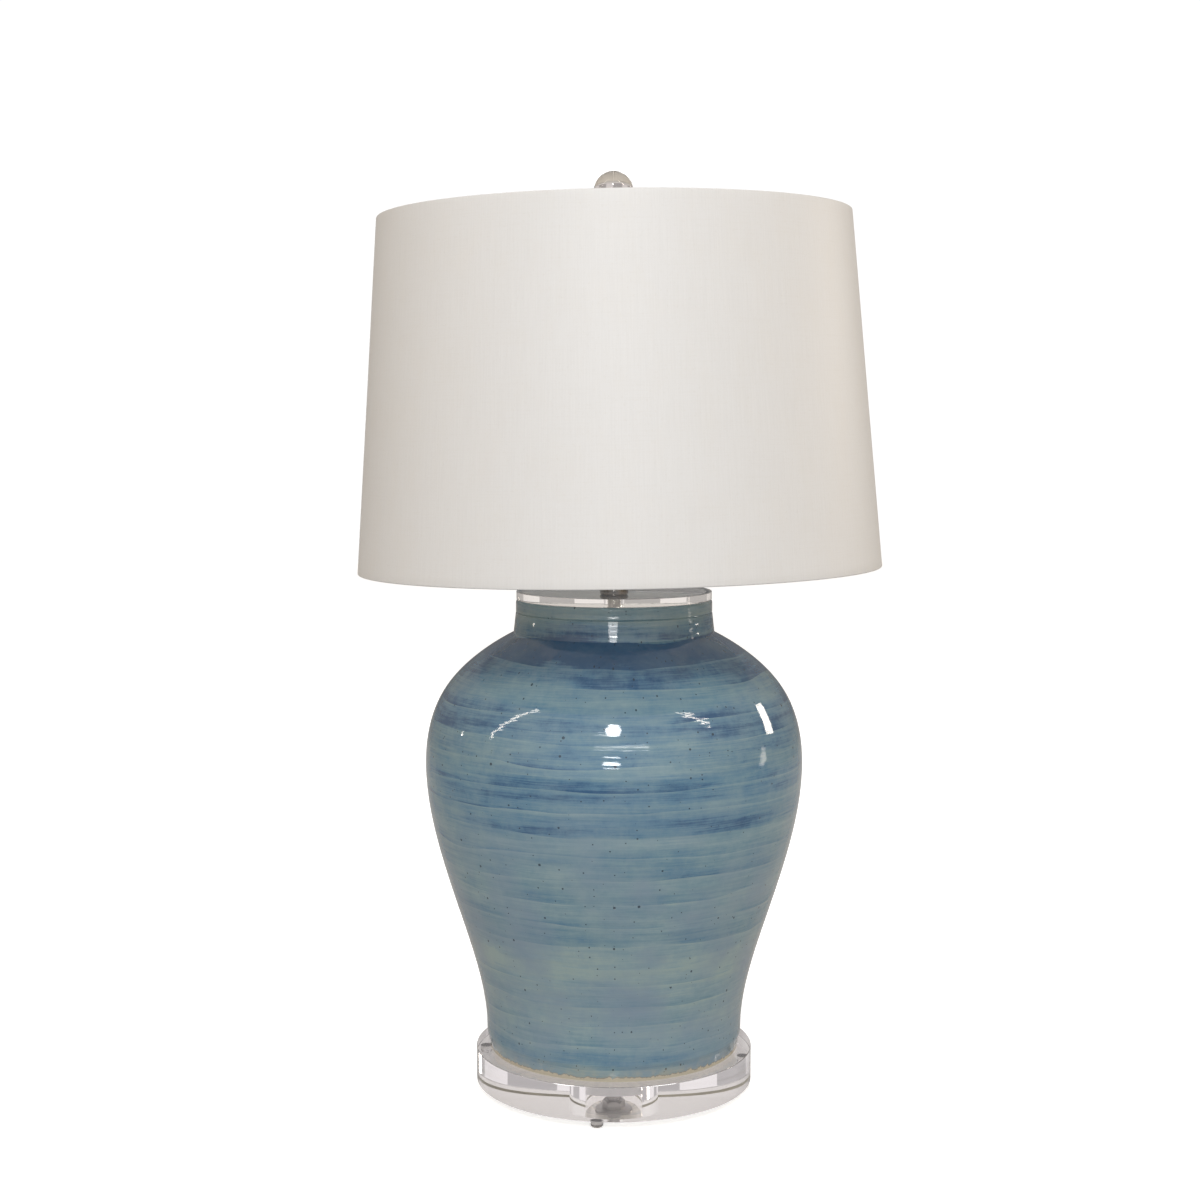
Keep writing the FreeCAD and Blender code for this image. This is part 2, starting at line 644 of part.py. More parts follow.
def make_socket_set_screw():
    """Slotted grub screw that locks the socket on the pipe."""
    z = SOCKET_BOTTOM + SET_SCREW_HEIGHT
    end = SOCKET_HUB_RADIUS + SET_SCREW_PROUD
    screw = Part.makeCylinder(SET_SCREW_RADIUS, end - PIPE_RADIUS, at(PIPE_RADIUS, 0, z), X_AXIS)
    return screw.cut(screw_slot(end, SET_SCREW_RADIUS, z, 1))


def switch_opening(radius):
    """Round hole for the switch's shaft, towards the front."""
    return Part.makeCylinder(radius, SOCKET_RADIUS, at(0, -SHAFT_INNER_END, SWITCH_Z), -Y_AXIS)


def make_socket_shell():
    """Upper half of the shell, a bead rolled near its mouth."""
    top = SHELL_BOTTOM + SHELL_HEIGHT
    inner = SHELL_RADIUS - SOCKET_SHEET
    bead_z = top - SHELL_BEAD_BELOW_TOP
    shell = turned([
        (inner, SHELL_BOTTOM), (SHELL_RADIUS, SHELL_BOTTOM),
        (SHELL_RADIUS, bead_z - 2 * SHELL_BEAD), (SHELL_RADIUS + SHELL_BEAD, bead_z),
        (SHELL_RADIUS, bead_z + 2 * SHELL_BEAD), (SHELL_RADIUS, top), (inner, top),
    ])
    return shell.cut(switch_opening(SHELL_OPENING))


def make_socket_insulator():
    """Fibre sleeve between the shell and the live parts."""
    outer = SHELL_RADIUS - SOCKET_SHEET
    top = SHELL_BOTTOM + SHELL_HEIGHT - INSULATOR_HEAD
    sleeve = tube(outer, outer - INSULATOR_SHEET, SHELL_BOTTOM + INSULATOR_FOOT, top)
    return sleeve.cut(switch_opening(INSULATOR_OPENING))


def make_socket_body():
    """Moulded block that holds the switch, the screws and the screw shell."""
    block = rod(BODY_BLOCK_RADIUS, BODY_BLOCK_BOTTOM, BODY_BLOCK_TOP)
    for side in (-1, 1):
        corner = at(side * BODY_BLOCK_RADIUS - REBATE_DEPTH, -REBATE_WIDTH / 2, BODY_BLOCK_BOTTOM)
        block = block.cut(Part.makeBox(2 * REBATE_DEPTH, REBATE_WIDTH, REBATE_HEIGHT, corner))
    return block.cut(switch_opening(SHAFT_RADIUS + RUNNING_GAP))


def make_terminal_screws():
    """The two screws that hold the leads, in the rebates of the block."""
    seat = BODY_BLOCK_RADIUS - REBATE_DEPTH
    face = seat + TERMINAL_THICKNESS
    z = BODY_BLOCK_BOTTOM + REBATE_HEIGHT / 2
    screws = []
    for side in (-1, 1):
        head = Part.makeCylinder(TERMINAL_RADIUS, TERMINAL_THICKNESS, at(side * seat, 0, z), X_AXIS * side)
        screws.append(head.cut(screw_slot(face, TERMINAL_RADIUS, z, side)))
    return Part.makeCompound(screws)


def make_screw_shell():
    """Brass shell that takes the bulb's cap, rolled into a shallow thread."""
    low = BODY_BLOCK_TOP
    pitch = SCREW_SHELL_HEIGHT / (SCREW_SHELL_TURNS + 1)
    valley = SCREW_SHELL_RADIUS - THREAD_DEPTH
    outside = [(valley, low)]
    for turn in range(SCREW_SHELL_TURNS):
        outside.append((valley, low + pitch * (turn + 0.75)))
        outside.append((SCREW_SHELL_RADIUS, low + pitch * (turn + 1.25)))
    outside.append((SCREW_SHELL_RADIUS, low + SCREW_SHELL_HEIGHT))
    inner = valley - SCREW_SHELL_SHEET
    floor = low + SCREW_SHELL_SHEET
    hole = CONTACT_RADIUS + CONTACT_CLEARANCE
    return turned(outside + [(inner + THREAD_DEPTH, low + SCREW_SHELL_HEIGHT), (inner, floor),
                             (hole, floor), (hole, low)])


def make_centre_contact():
    """Sprung tongue under the bulb's tip."""
    tongue = rod(CONTACT_RADIUS, BODY_BLOCK_TOP, BULB_Z)
    return softened(tongue, CONTACT_ROUND, [(CONTACT_RADIUS, BULB_Z)])


# ---- switch ----------------------------------------------------------------
def make_switch_shaft():
    """Shaft from inside the block to the knob."""
    length = KNOB_NEAR_END + KNOB_LENGTH - SHAFT_SHORT_OF_NOSE - SHAFT_INNER_END
    return Part.makeCylinder(SHAFT_RADIUS, length, at(0, -SHAFT_INNER_END, SWITCH_Z), -Y_AXIS)


def make_switch_knob():
    """Ribbed turn knob pressed on the shaft."""
    far_end = KNOB_NEAR_END + KNOB_LENGTH
    points = []
    for rib in range(2 * KNOB_RIBS):
        angle = math.pi * rib / KNOB_RIBS
        radius = KNOB_RADIUS if rib % 2 else 0.9 * KNOB_RADIUS
        points.append(at(radius * math.cos(angle), -KNOB_NEAR_END, SWITCH_Z + radius * math.sin(angle)))
    knob = Part.Face(Part.makePolygon(points + points[:1])).extrude(at(0, -KNOB_LENGTH, 0))
    nose = turned([
        (0, KNOB_NEAR_END), (0.8 * KNOB_RADIUS, KNOB_NEAR_END), (KNOB_RADIUS, KNOB_NEAR_END + KNOB_BACK),
        (KNOB_RADIUS, far_end - KNOB_NOSE), (0.7 * KNOB_RADIUS, far_end), (0, far_end),
    ])
    nose.rotate(ORIGIN, X_AXIS, 90)
    nose.translate(at(0, 0, SWITCH_Z))
    return knob.common(nose).cut(make_switch_shaft())


# ---- bulb ------------------------------------------------------------------
def bulb_outline(inset):
    """Edges of the glass, moved in by the inset: a flowing side from the neck, then a round crown."""
    neck = BULB_BASE_RADIUS - BULB_GAP - inset
    radius = BULB_RADIUS - inset
    low = BULB_Z + BULB_TIP_HEIGHT + BULB_COLLAR_HEIGHT + BULB_BASE_HEIGHT
    top = BULB_Z + BULB_LENGTH - inset
    widest = top - radius
    rise = widest - low
    side = on_section([
        (neck, low), (neck + 0.10 * (radius - neck), low + 0.25 * rise),
        (neck + 0.62 * (radius - neck), low + 0.62 * rise), (radius, widest),
    ])
    half = math.sqrt(0.5) * radius
    crown = Part.Arc(side[-1], at(half, 0, widest + half), at(0, 0, top))
    return [curve_through(side, Z_AXIS, Z_AXIS).toShape(), crown.toShape()]


def make_bulb_glass():
    """Blown envelope, hollow."""
    outer = bulb_outline(0)
    inner = bulb_outline(BULB_GLASS)
    ends = [(outer[0].valueAt(outer[0].FirstParameter), inner[0].valueAt(inner[0].FirstParameter)),
            (outer[1].valueAt(outer[1].LastParameter), inner[1].valueAt(inner[1].LastParameter))]
    return turned_edges(outer + inner + [Part.makeLine(a, b) for a, b in ends])


def bulb_collar_radius():
    """Where the bulb's black ring meets its metal cap."""
    return BULB_BASE_RADIUS - BULB_BASE_SHEET


def make_bulb_base():
    """Threaded metal cap of the bulb."""
    low = BULB_Z + BULB_TIP_HEIGHT + BULB_COLLAR_HEIGHT
    pitch = BULB_BASE_HEIGHT / (BULB_BASE_TURNS + 1)
    crest = BULB_BASE_RADIUS - BULB_GAP
    inner = crest - BULB_BASE_SHEET
    section = [(inner, low), (bulb_collar_radius(), low)]
    for turn in range(BULB_BASE_TURNS):
        section.append((crest - BULB_THREAD_DEPTH, low + pitch * (turn + 0.5)))
        section.append((crest, low + pitch * (turn + 1.0)))
    section.append((crest, low + BULB_BASE_HEIGHT))
    section.append((inner, low + BULB_BASE_HEIGHT))
    return turned(section)


def make_bulb_collar():
    """Black insulating ring between the cap and the tip."""
    low = BULB_Z + BULB_TIP_HEIGHT
    return turned([
        (0, low), (CONTACT_RADIUS + 1.2 * BULB_TIP_FLARE, low),
        (bulb_collar_radius(), low + BULB_COLLAR_HEIGHT), (0, low + BULB_COLLAR_HEIGHT),
    ])


def make_bulb_tip():
    """Contact button at the bottom of the bulb."""
    top = BULB_Z + BULB_TIP_HEIGHT
    return turned([
        (0, BULB_Z), (CONTACT_RADIUS - BULB_TIP_FLARE, BULB_Z), (CONTACT_RADIUS + BULB_TIP_FLARE, top),
        (0, top),
    ])


def make_bulb_stem():
    """Glass stem inside the envelope with two posts and the coiled filament's bar."""
    low = BULB_Z + BULB_TIP_HEIGHT + BULB_COLLAR_HEIGHT
    shoulder = low + BULB_BASE_HEIGHT + STEM_FLARE_HEIGHT
    stem_top = shoulder + STEM_TIP_HEIGHT
    tip = BULB_Z + BULB_LENGTH - BULB_RADIUS
    spread = 0.4 * BULB_RADIUS
    stem = turned([
        (0, low), (BULB_BASE_RADIUS - BULB_GAP - BULB_BASE_SHEET, low), (STEM_RADIUS, shoulder),
        (STEM_TIP_RADIUS, stem_top), (0, stem_top),
    ])
    for side in (-1, 1):
        start = at(side * STEM_TIP_RADIUS / 2, 0, stem_top - 4 * POST_RADIUS)
        reach = at(side * spread, 0, tip) - start
        stem = stem.fuse(Part.makeCylinder(POST_RADIUS, reach.Length, start, reach))
    bar = Part.makeCylinder(FILAMENT_RADIUS, 2 * spread, at(-spread, 0, tip), X_AXIS)
    return stem.fuse(bar).removeSplitter()


# ---- shade, in the stud's frame --------------------------------------------
def shade_radius(height):
    """Outer radius of the fabric at a height above the stud's foot."""
    share = (height - SHADE_FOOT) / SHADE_HEIGHT
    return (SHADE_BOTTOM_DIAMETER + (SHADE_TOP_DIAMETER - SHADE_BOTTOM_DIAMETER) * share) / 2


def cone_shell(outer_inset, inner_inset):
    """Layer of the shade between two insets from the fabric's outer face."""
    low = SHADE_FOOT + FABRIC
    high = RIM - FABRIC
    return turned([
        (shade_radius(low) - inner_inset, low), (shade_radius(low) - outer_inset, low),
        (shade_radius(high) - outer_inset, high), (shade_radius(high) - inner_inset, high),
    ])


def make_shade_fabric():
    """Woven cover, laminated to the liner."""
    return leaned(cone_shell(0, FABRIC))


def make_shade_liner():
    """Stiff liner behind the fabric."""
    return leaned(cone_shell(FABRIC, FABRIC + LINER))


def frame_ring_radius(height):
    """Radius of a frame ring's centre line, against the liner."""
    slope = (SHADE_BOTTOM_DIAMETER - SHADE_TOP_DIAMETER) / 2 / SHADE_HEIGHT
    return shade_radius(height) - FABRIC - LINER - FRAME_WIRE * math.hypot(1, slope)


def ring_height(end):
    """Height of a frame ring: end 1 is the rim, end -1 the foot."""
    edge = RIM if end > 0 else SHADE_FOOT
    return edge - end * (FABRIC + FRAME_WIRE + SEAT_GAP)


def make_frame_ring(end):
    """Wire ring inside an edge of the shade."""
    height = ring_height(end)
    return Part.makeTorus(frame_ring_radius(height), FRAME_WIRE, at(0, 0, height))


def make_hem(end):
    """Fabric turned over an edge of the shade and down behind the ring."""
    edge = RIM if end > 0 else SHADE_FOOT
    under = edge - end * FABRIC
    drop = edge - end * HEM_DROP
    back = frame_ring_radius(ring_height(end)) - FRAME_WIRE - SEAT_GAP
    return turned([
        (shade_radius(under), under), (shade_radius(edge), edge), (back - FABRIC, edge),
        (back - FABRIC, drop), (back, drop), (back, under),
    ])


def make_spider(ring):
    """Hub on the stud with three wire arms that reach up to the top ring."""
    spider = rod(HUB_RADIUS, 0, HUB_THICKNESS)
    height = ring_height(1)
    reach = frame_ring_radius(height)
    low = FRAME_WIRE + SEAT_GAP
    bend = (height - low) * ARM_BEND
    start = at(0.8 * HUB_RADIUS, 0, low)
    knee = at(reach - 1.7 * bend, 0, low)
    middle = at(reach - 0.55 * bend, 0, low + 0.32 * bend)
    end = at(reach, 0, low + bend)
    arm = swept_wire([
        Part.makeLine(start, knee),
        curve_through([knee, middle, end], X_AXIS * bend, Z_AXIS * bend).toShape(),
        Part.makeLine(end, at(reach, 0, height)),
    ], FRAME_WIRE)
    for number in range(ARM_COUNT):
        turned_arm = arm.copy()
        turned_arm.rotate(ORIGIN, Z_AXIS, 90 + 360 / ARM_COUNT * number)
        spider = spider.fuse(turned_arm)
    bore = rod(STUD_RADIUS + HUB_PLAY, -HUB_THICKNESS, 2 * HUB_THICKNESS)
    return spider.removeSplitter().cut(bore).cut(ring)


# ---- finial, in the stud's frame -------------------------------------------
def make_finial_washer():
    return leaned(tube(FINIAL_WASHER_RADIUS, STUD_RADIUS + HUB_PLAY, HUB_THICKNESS, FINIAL_FOOT))


def make_finial_ball():
    return Part.makeSphere(BALL_RADIUS, at(0, 0, BALL_CENTRE))


def make_finial_base(ball):
    """Turned metal base of the finial, bored for the stud and cupped for the ball."""
    ball_bottom = BALL_CENTRE - BALL_RADIUS
    bore_top = STUD_LENGTH + FINIAL_END_GAP
    cup_top = ball_bottom + FINIAL_CUP_DEPTH
    base = turned([
        (FINIAL_BORE, FINIAL_FOOT),
        (FINIAL_FLANGE_RADIUS, FINIAL_FOOT),
        (FINIAL_FLANGE_RADIUS, FINIAL_FOOT + FINIAL_FLANGE_HEIGHT),
        (FINIAL_WAIST_RADIUS, FINIAL_FOOT + FINIAL_TAPER),
        (FINIAL_WAIST_RADIUS, ball_bottom - FINIAL_TAPER),
        (FINIAL_CUP_RADIUS, ball_bottom - FINIAL_CUP_LIP),
        (FINIAL_CUP_RADIUS, cup_top),
        (0, cup_top),
        (0, bore_top),
        (FINIAL_BORE, bore_top),
    ])
    return base.cut(ball)


# ---- everything ------------------------------------------------------------
def save(name, shape):
    shape.exportStep(os.path.join("parts", name + ".step"))


def main():
    os.makedirs("parts", exist_ok=True)
    for number in range(FOOT_COUNT):
        save("foot_%d" % (number + 1), make_foot(number))
    save("base_disc", make_base_disc())
    save("lower_washer", make_lower_washer())
    save("lower_nut", make_lower_nut())
    jar = make_jar()
    save("jar", jar)
    save("cord_bushing", make_cord_bushing(jar))
    save("lamp_pipe", make_lamp_pipe())
    save("cap_disc", make_cap_disc())
    save("neck_ring", make_neck_ring())
    save("neck_riser", make_neck_riser())
    save("harp_saddle", make_harp_saddle())
    save("saddle_nut", make_saddle_nut())
    wire = make_harp_wire()
    save("harp_wire", wire)
    save("harp_plate", make_harp_plate(wire))
    save("harp_stud", make_harp_stud())
    save("ferrule_left", make_ferrule(-1))
    save("ferrule_right", make_ferrule(1))
    save("socket_cap", make_socket_cap())
    save("socket_set_screw", make_socket_set_screw())
    save("socket_shell", make_socket_shell())
    save("socket_insulator", make_socket_insulator())
    save("socket_body", make_socket_body())
    save("terminal_screws", make_terminal_screws())
    save("screw_shell", make_screw_shell())
    save("centre_contact", make_centre_contact())
    save("switch_shaft", make_switch_shaft())
    save("switch_knob", make_switch_knob())
    save("bulb_glass", make_bulb_glass())
    save("bulb_base", make_bulb_base())
    save("bulb_collar", make_bulb_collar())
    save("bulb_tip", make_bulb_tip())
    save("bulb_stem", make_bulb_stem())
    save("shade_fabric", make_shade_fabric())
    save("shade_liner", make_shade_liner())
    top_ring = make_frame_ring(1)
    spider = make_spider(top_ring)
    save("top_ring", leaned(top_ring))
    save("bottom_ring", leaned(make_frame_ring(-1)))
    save("top_hem", leaned(make_hem(1).cut(spider)))
    save("bottom_hem", leaned(make_hem(-1)))
    save("spider", leaned(spider))
    save("finial_washer", make_finial_washer())
    ball = make_finial_ball()
    save("finial_base", leaned(make_finial_base(ball)))
    save("finial_ball", leaned(ball))


main()
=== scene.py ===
"""Looks of the table lamp: cloth shade, glazed jar, clear acrylic discs, metal hardware.

Metres, in the CAD model's own frame.  The cloth of the shade is built here, the
hard pieces are the CAD nodes with materials made from nodes.
"""
import json
import math

import bpy
from mathutils import Matrix, Vector, noise


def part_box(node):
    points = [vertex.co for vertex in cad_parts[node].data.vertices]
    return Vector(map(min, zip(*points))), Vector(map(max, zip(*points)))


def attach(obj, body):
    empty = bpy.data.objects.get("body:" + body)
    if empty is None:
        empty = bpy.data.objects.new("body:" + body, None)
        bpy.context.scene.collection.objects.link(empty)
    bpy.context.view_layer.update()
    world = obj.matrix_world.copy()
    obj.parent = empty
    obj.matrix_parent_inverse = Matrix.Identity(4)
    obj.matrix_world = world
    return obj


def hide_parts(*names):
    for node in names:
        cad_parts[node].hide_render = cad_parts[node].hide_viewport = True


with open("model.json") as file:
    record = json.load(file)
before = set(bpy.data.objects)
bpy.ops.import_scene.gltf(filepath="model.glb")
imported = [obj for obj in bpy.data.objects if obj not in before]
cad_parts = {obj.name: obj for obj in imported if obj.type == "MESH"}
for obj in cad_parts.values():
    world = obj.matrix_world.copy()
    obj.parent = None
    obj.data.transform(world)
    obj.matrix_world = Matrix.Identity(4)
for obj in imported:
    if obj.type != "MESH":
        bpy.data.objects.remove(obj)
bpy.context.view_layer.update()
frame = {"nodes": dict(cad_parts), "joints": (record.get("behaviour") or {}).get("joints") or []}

MM = 0.001
WHITE = (1.0, 1.0, 1.0)

# ---- camera ----------------------------------------------------------------
CAMERA_PLACE = (-0.0110, -1.5108, 0.5228)
CAMERA_PITCH = 0.090           # radians down from level
CAMERA_LENS = 58.116           # millimetres
SENSOR_WIDTH = 36.0            # millimetres

# ---- light -----------------------------------------------------------------
BACK_GLOW = 0.12               # the surroundings, as light on the lamp
CEILING_GLOW = 0.30
FRONT_GLOW = 0.79
SIDE_GLOW = 0.25
SIDE_TINT = (1.0, 0.72, 0.42)
SEEN_GLOW = 1.05               # the surroundings, as the camera sees them
THROUGH_GLOW = 0.38            # the surroundings, as seen through acrylic
THROUGH_SIDE = 0.40            # added in upright stripes
THROUGH_TINT = (1.0, 0.955, 0.970)
STRIPE_RATE = 11.0             # radians of a stripe's wave to one unit across
STRIPE_EDGE = 0.2              # sine above which a stripe is bright
FLOOR_HALF = 6.0               # half a side of the floor
FLOOR_DROP = 0.05 * MM         # keeps the floor clear of the feet
FLOOR_PALE = 0.80              # the floor's colour, as the camera sees it
FLOOR_GLOW = 0.62              # and its own light, which makes it white
FLOOR_THROUGH = 0.27           # its own light, as seen through acrylic
FLOOR_BOUNCE = 0.45            # its colour for light that it throws on the lamp
ACRYLIC_PAINTED_GLOW = 0.03               # painted glow: light that the acrylic gives off of its own, standing in for light scattered inside it
FOOT_GLOW = 0.40               # painted light: the bare clay facing down glows by this much, for light that acrylic carries under the jar's foot
LIGHT_REACH = 2.2              # from the target to each light
LIGHT_TARGET = (0.0, 0.0, 0.30)
WARM_LIGHT = (1.0, 0.90, 0.79)

# ---- cloth -----------------------------------------------------------------
CLOTH = 0.6 * MM               # the cloth's thickness
HEM = 8.0 * MM                 # turned over inside both edges
HEM_STEPS = 4
EDGE_ROUND = 0.9 * MM
SEAM_OVERLAP = 9.0 * MM
SEAM_RAMP = 5.0 * MM           # over which the upper layer rises on the lower
SEAM_GAP = 0.05 * MM           # between the cloth's two layers at the seam
SEAM_ANGLE = math.pi / 2       # the seam is at the back
CLOTH_STEPS_ROUND = 288
CLOTH_STEPS_UP = 44
CLOTH_RIPPLE = 0.22 * MM       # how far the cloth strays from a true cone
RIPPLES_ROUND = 3.0            # scale of the ripple's noise round the shade
RIPPLES_UP = 9.0               # and up it, per metre
WARP_THREADS = 1500.0          # per metre
WEFT_THREADS = 1200.0
RIM_BAND = 0.01 * MM           # how near an edge a point of the CAD shade counts as on it

# ---- glaze -----------------------------------------------------------------
RING_COUNT = 21                # throwing rings up the jar's wall
NECK_PART = 26.0 * MM          # of the jar, down from its lip
COIL_PITCH = 8.0 * MM          # of the finger marks on the neck
BAND_SWAY = 20.0 * MM          # how far the bands wander up and down
WALL_RADIUS = 130.0 * MM       # turns the angle round the jar into a length
PIT_LAYERS = (                 # cells per metre, share of them without a pit, widest pit in cells
    (58.0, 0.55, 0.062), (140.0, 0.70, 0.085),
)
CREAM_HEIGHT = 15.0 * MM       # worn, creamy glaze above the foot
CLAY_HEIGHT = 3.2 * MM         # bare clay
GREY_EDGE_HEIGHT = 3.9 * MM    # where a thin greyer band above the bare clay ends
RAGGED = 9.0 * MM              # how far that edge wanders
# height above the jar's foot (share of the jar), how blue the glaze is there; the darkest values, on the
# upper shoulder under the neck, are partly the glaze's own dark band and partly painted shade and a painted
# reflection of the lampshade's underside
BLUE_BANDS_AND_PAINTED_SHADE = (
    (0.000, 0.30), (0.030, 0.34), (0.050, 0.60), (0.068, 0.40), (0.120, 0.26),
    (0.165, 0.22), (0.200, 0.28), (0.225, 0.06), (0.262, 0.10), (0.300, 0.38),
    (0.345, 0.44), (0.385, 0.38), (0.425, 0.46), (0.470, 0.45), (0.500, 0.55),
    (0.530, 0.46), (0.560, 0.69), (0.590, 0.71), (0.612, 0.50), (0.632, 0.76),
    (0.655, 0.66), (0.690, 0.62), (0.740, 0.66), (0.780, 0.80), (0.820, 0.62),
    (0.863, 0.84), (0.884, 0.94), (0.904, 1.30), (0.921, 1.45), (0.933, 0.88),
    (0.950, 0.76), (0.967, 0.68), (0.983, 0.26), (1.000, 0.36),
)


# ---- node helpers ----------------------------------------------------------
class NodeTree:
    """A tree of shader nodes, with short calls to add and join them."""

    def __init__(self, tree):
        """Work on the given tree."""
        self.tree = tree

    def node(self, kind, **values):
        """Add a node and set its own properties."""
        made = self.tree.nodes.new(kind)
        for key, value in values.items():
            setattr(made, key, value)
        return made

    def put(self, value, socket):
        """Join a socket or write a constant."""
        if isinstance(value, bpy.types.NodeSocket):
            self.tree.links.new(value, socket)
            return
        if isinstance(value, tuple) and len(value) == 3 and socket.type == "RGBA":
            value = (*value, 1.0)
        socket.default_value = value

    def math(self, operation, *values, clamp=False):
        """One arithmetic step."""
        made = self.node("ShaderNodeMath", operation=operation, use_clamp=clamp)
        for value, socket in zip(values, made.inputs):
            self.put(value, socket)
        return made.outputs[0]

    def sum(self, *values):
        """All the values added up."""
        total = values[0]
        for value in values[1:]:
            total = self.math("ADD", total, value)
        return total

    def swing(self, field, amount, middle=0.5):
        """How far the field is from its middle, times the amount."""
        return self.math("MULTIPLY", self.math("SUBTRACT", field, middle), amount)

    def vector(self, x, y, z):
        """Three numbers as one vector."""
        made = self.node("ShaderNodeCombineXYZ")
        for value, socket in zip((x, y, z), made.inputs):
            self.put(value, socket)
        return made.outputs[0]

    def split(self, vector):
        """The three numbers of a vector."""
        made = self.node("ShaderNodeSeparateXYZ")
        self.put(vector, made.inputs[0])
        return made.outputs

    def place(self, kind="Object"):
        """Texture coordinates: Object, UV or Generated."""
        return self.node("ShaderNodeTexCoord").outputs[kind]

    def noise(self, vector, scale, detail=3.0, roughness=0.55, dimensions="3D"):
        """Cloudy values round 0.5."""
        made = self.node("ShaderNodeTexNoise", noise_dimensions=dimensions)
        self.put(vector, made.inputs["Vector"])
        made.inputs["Scale"].default_value = scale
        made.inputs["Detail"].default_value = detail
        made.inputs["Roughness"].default_value = roughness
        return made.outputs["Fac"]

    def spread(self, value, low, high, new_low=0.0, new_high=1.0):
        """Map a range of values to another, held at its ends."""
        made = self.node("ShaderNodeMapRange", clamp=True)
        self.put(value, made.inputs["Value"])
        made.inputs["From Min"].default_value = low
        made.inputs["From Max"].default_value = high
        made.inputs["To Min"].default_value = new_low
        made.inputs["To Max"].default_value = new_high
        return made.outputs["Result"]

    def ramp(self, factor, stops):
        """Colour from (place, colour) stops."""
        made = self.node("ShaderNodeValToRGB")
        self.put(factor, made.inputs["Fac"])
        marks = made.color_ramp.elements
        while len(marks) < len(stops):
            marks.new(0.5)
        for mark, (place, colour) in zip(marks, stops):
            mark.position = place
            mark.color = (*colour, 1.0)
        return made.outputs["Color"]

    def curve(self, value, points):
        """Smooth curve through (place, value) points."""
        made = self.node("ShaderNodeFloatCurve")
        curve = made.mapping.curves[0]
        for place, height in points[1:-1]:
            curve.points.new(place, height)
        curve.points[0].location = points[0]
        curve.points[-1].location = points[-1]
        made.mapping.update()
        self.put(value, made.inputs["Value"])
        return made.outputs[0]

    def mix(self, factor, a, b, kind="RGBA"):
        """From a to b by the factor: colours, or numbers where the kind is FLOAT."""
        made = self.node("ShaderNodeMix", data_type=kind)
        self.put(factor, made.inputs["Factor"])
        self.put(a, made.inputs["A"])
        self.put(b, made.inputs["B"])
        return made.outputs["Result"]

    def bump(self, height, distance, below=None):
        """Surface direction from a height, on top of another bump."""
        made = self.node("ShaderNodeBump")
        made.inputs["Distance"].default_value = distance
        made.inputs["Strength"].default_value = 1.0
        self.put(height, made.inputs["Height"])
        if below is not None:
            self.put(below, made.inputs["Normal"])
        return made.outputs["Normal"]


class Shader(NodeTree):
    """The node tree of one new material."""

    def __init__(self, name):
        """Start a material with its principled shader."""
        self.material = bpy.data.materials.new(name)
        self.material.use_nodes = True
        super().__init__(self.material.node_tree)
        self.surface = self.tree.nodes["Principled BSDF"]

    def set(self, **values):
        """Write the shader's own sockets; underscores stand for spaces."""
        for key, value in values.items():
            self.put(value, self.surface.inputs[key.replace("_", " ")])
        return self.material


def srgb(red, green, blue):
    """Colour of a surface from 0 to 255 display values."""
    def linear(value):
        """Light that one display value stands for."""
        value /= 255
        return value / 12.92 if value <= 0.04045 else ((value + 0.055) / 1.055) ** 2.4
    return (linear(red), linear(green), linear(blue))


# ---- materials -------------------------------------------------------------
CREAM = srgb(176, 174, 152)
GREY_EDGE = srgb(150, 148, 138)
DARK_CLAY = srgb(172, 165, 146)
PALE_CLAY = srgb(212, 206, 188)
PIT_COLOUR = srgb(40, 54, 70)
CLOUD_COLOUR = srgb(143, 165, 171)
LILAC_COLOUR = srgb(124, 145, 168)
GLAZE_COLOURS = (               # from the thinnest glaze to the bluest
    (0.00, srgb(149, 171, 173)), (0.25, srgb(134, 160, 171)), (0.50, srgb(113, 146, 162)),
    (0.75, srgb(89, 128, 156)), (1.00, srgb(45, 86, 126)),
)


def glaze_strokes(s, z):
    """Noise drawn out round the jar: a function of its scales round and up."""
    x, y, _ = s.split(s.place())
    around = s.node("ShaderNodeVectorMath", operation="NORMALIZE")
    s.put(s.vector(x, y, 0.0), around.inputs[0])
    cosine, sine, _ = s.split(around.outputs[0])

    def stroke(round_scale, up_scale, detail=3.0, roughness=0.55):
        """Noise at one pair of scales."""
        place = s.vector(
            s.math("MULTIPLY", cosine, round_scale),
            s.math("MULTIPLY", sine, round_scale),
            s.math("MULTIPLY", z, up_scale),
        )
        return s.noise(place, 1.0, detail, roughness)

    return stroke


def glaze_blue_and_painted_shade(s, stroke, share, rings, lines):
    """How blue the glaze is: level bands, brush marks, and glaze pooled in the throwing rings; on the upper
    shoulder the bands also carry painted shade.
    """
    pooled = s.math("SUBTRACT", 1.0, s.math("FRACT", rings))
    edge = s.spread(pooled, 0.0, 0.12, 1.0, 0.0)
    pooled = s.math("MULTIPLY", pooled, s.spread(stroke(1.4, 38.0, 2.0), 0.40, 0.62))
    blue = s.sum(
        s.curve(share, BLUE_BANDS_AND_PAINTED_SHADE),
        s.swing(stroke(1.1, 60.0), 0.50),
        s.swing(lines, 0.50),
        s.swing(stroke(5.0, 1300.0, 2.0, 0.6), 0.50),
        s.swing(pooled, 0.36, 0.25),
        s.swing(stroke(12.0, 95.0, 5.0, 0.75), 0.55),
    )
    return s.math("SUBTRACT", blue, s.math("MULTIPLY", edge, 0.12), clamp=True)


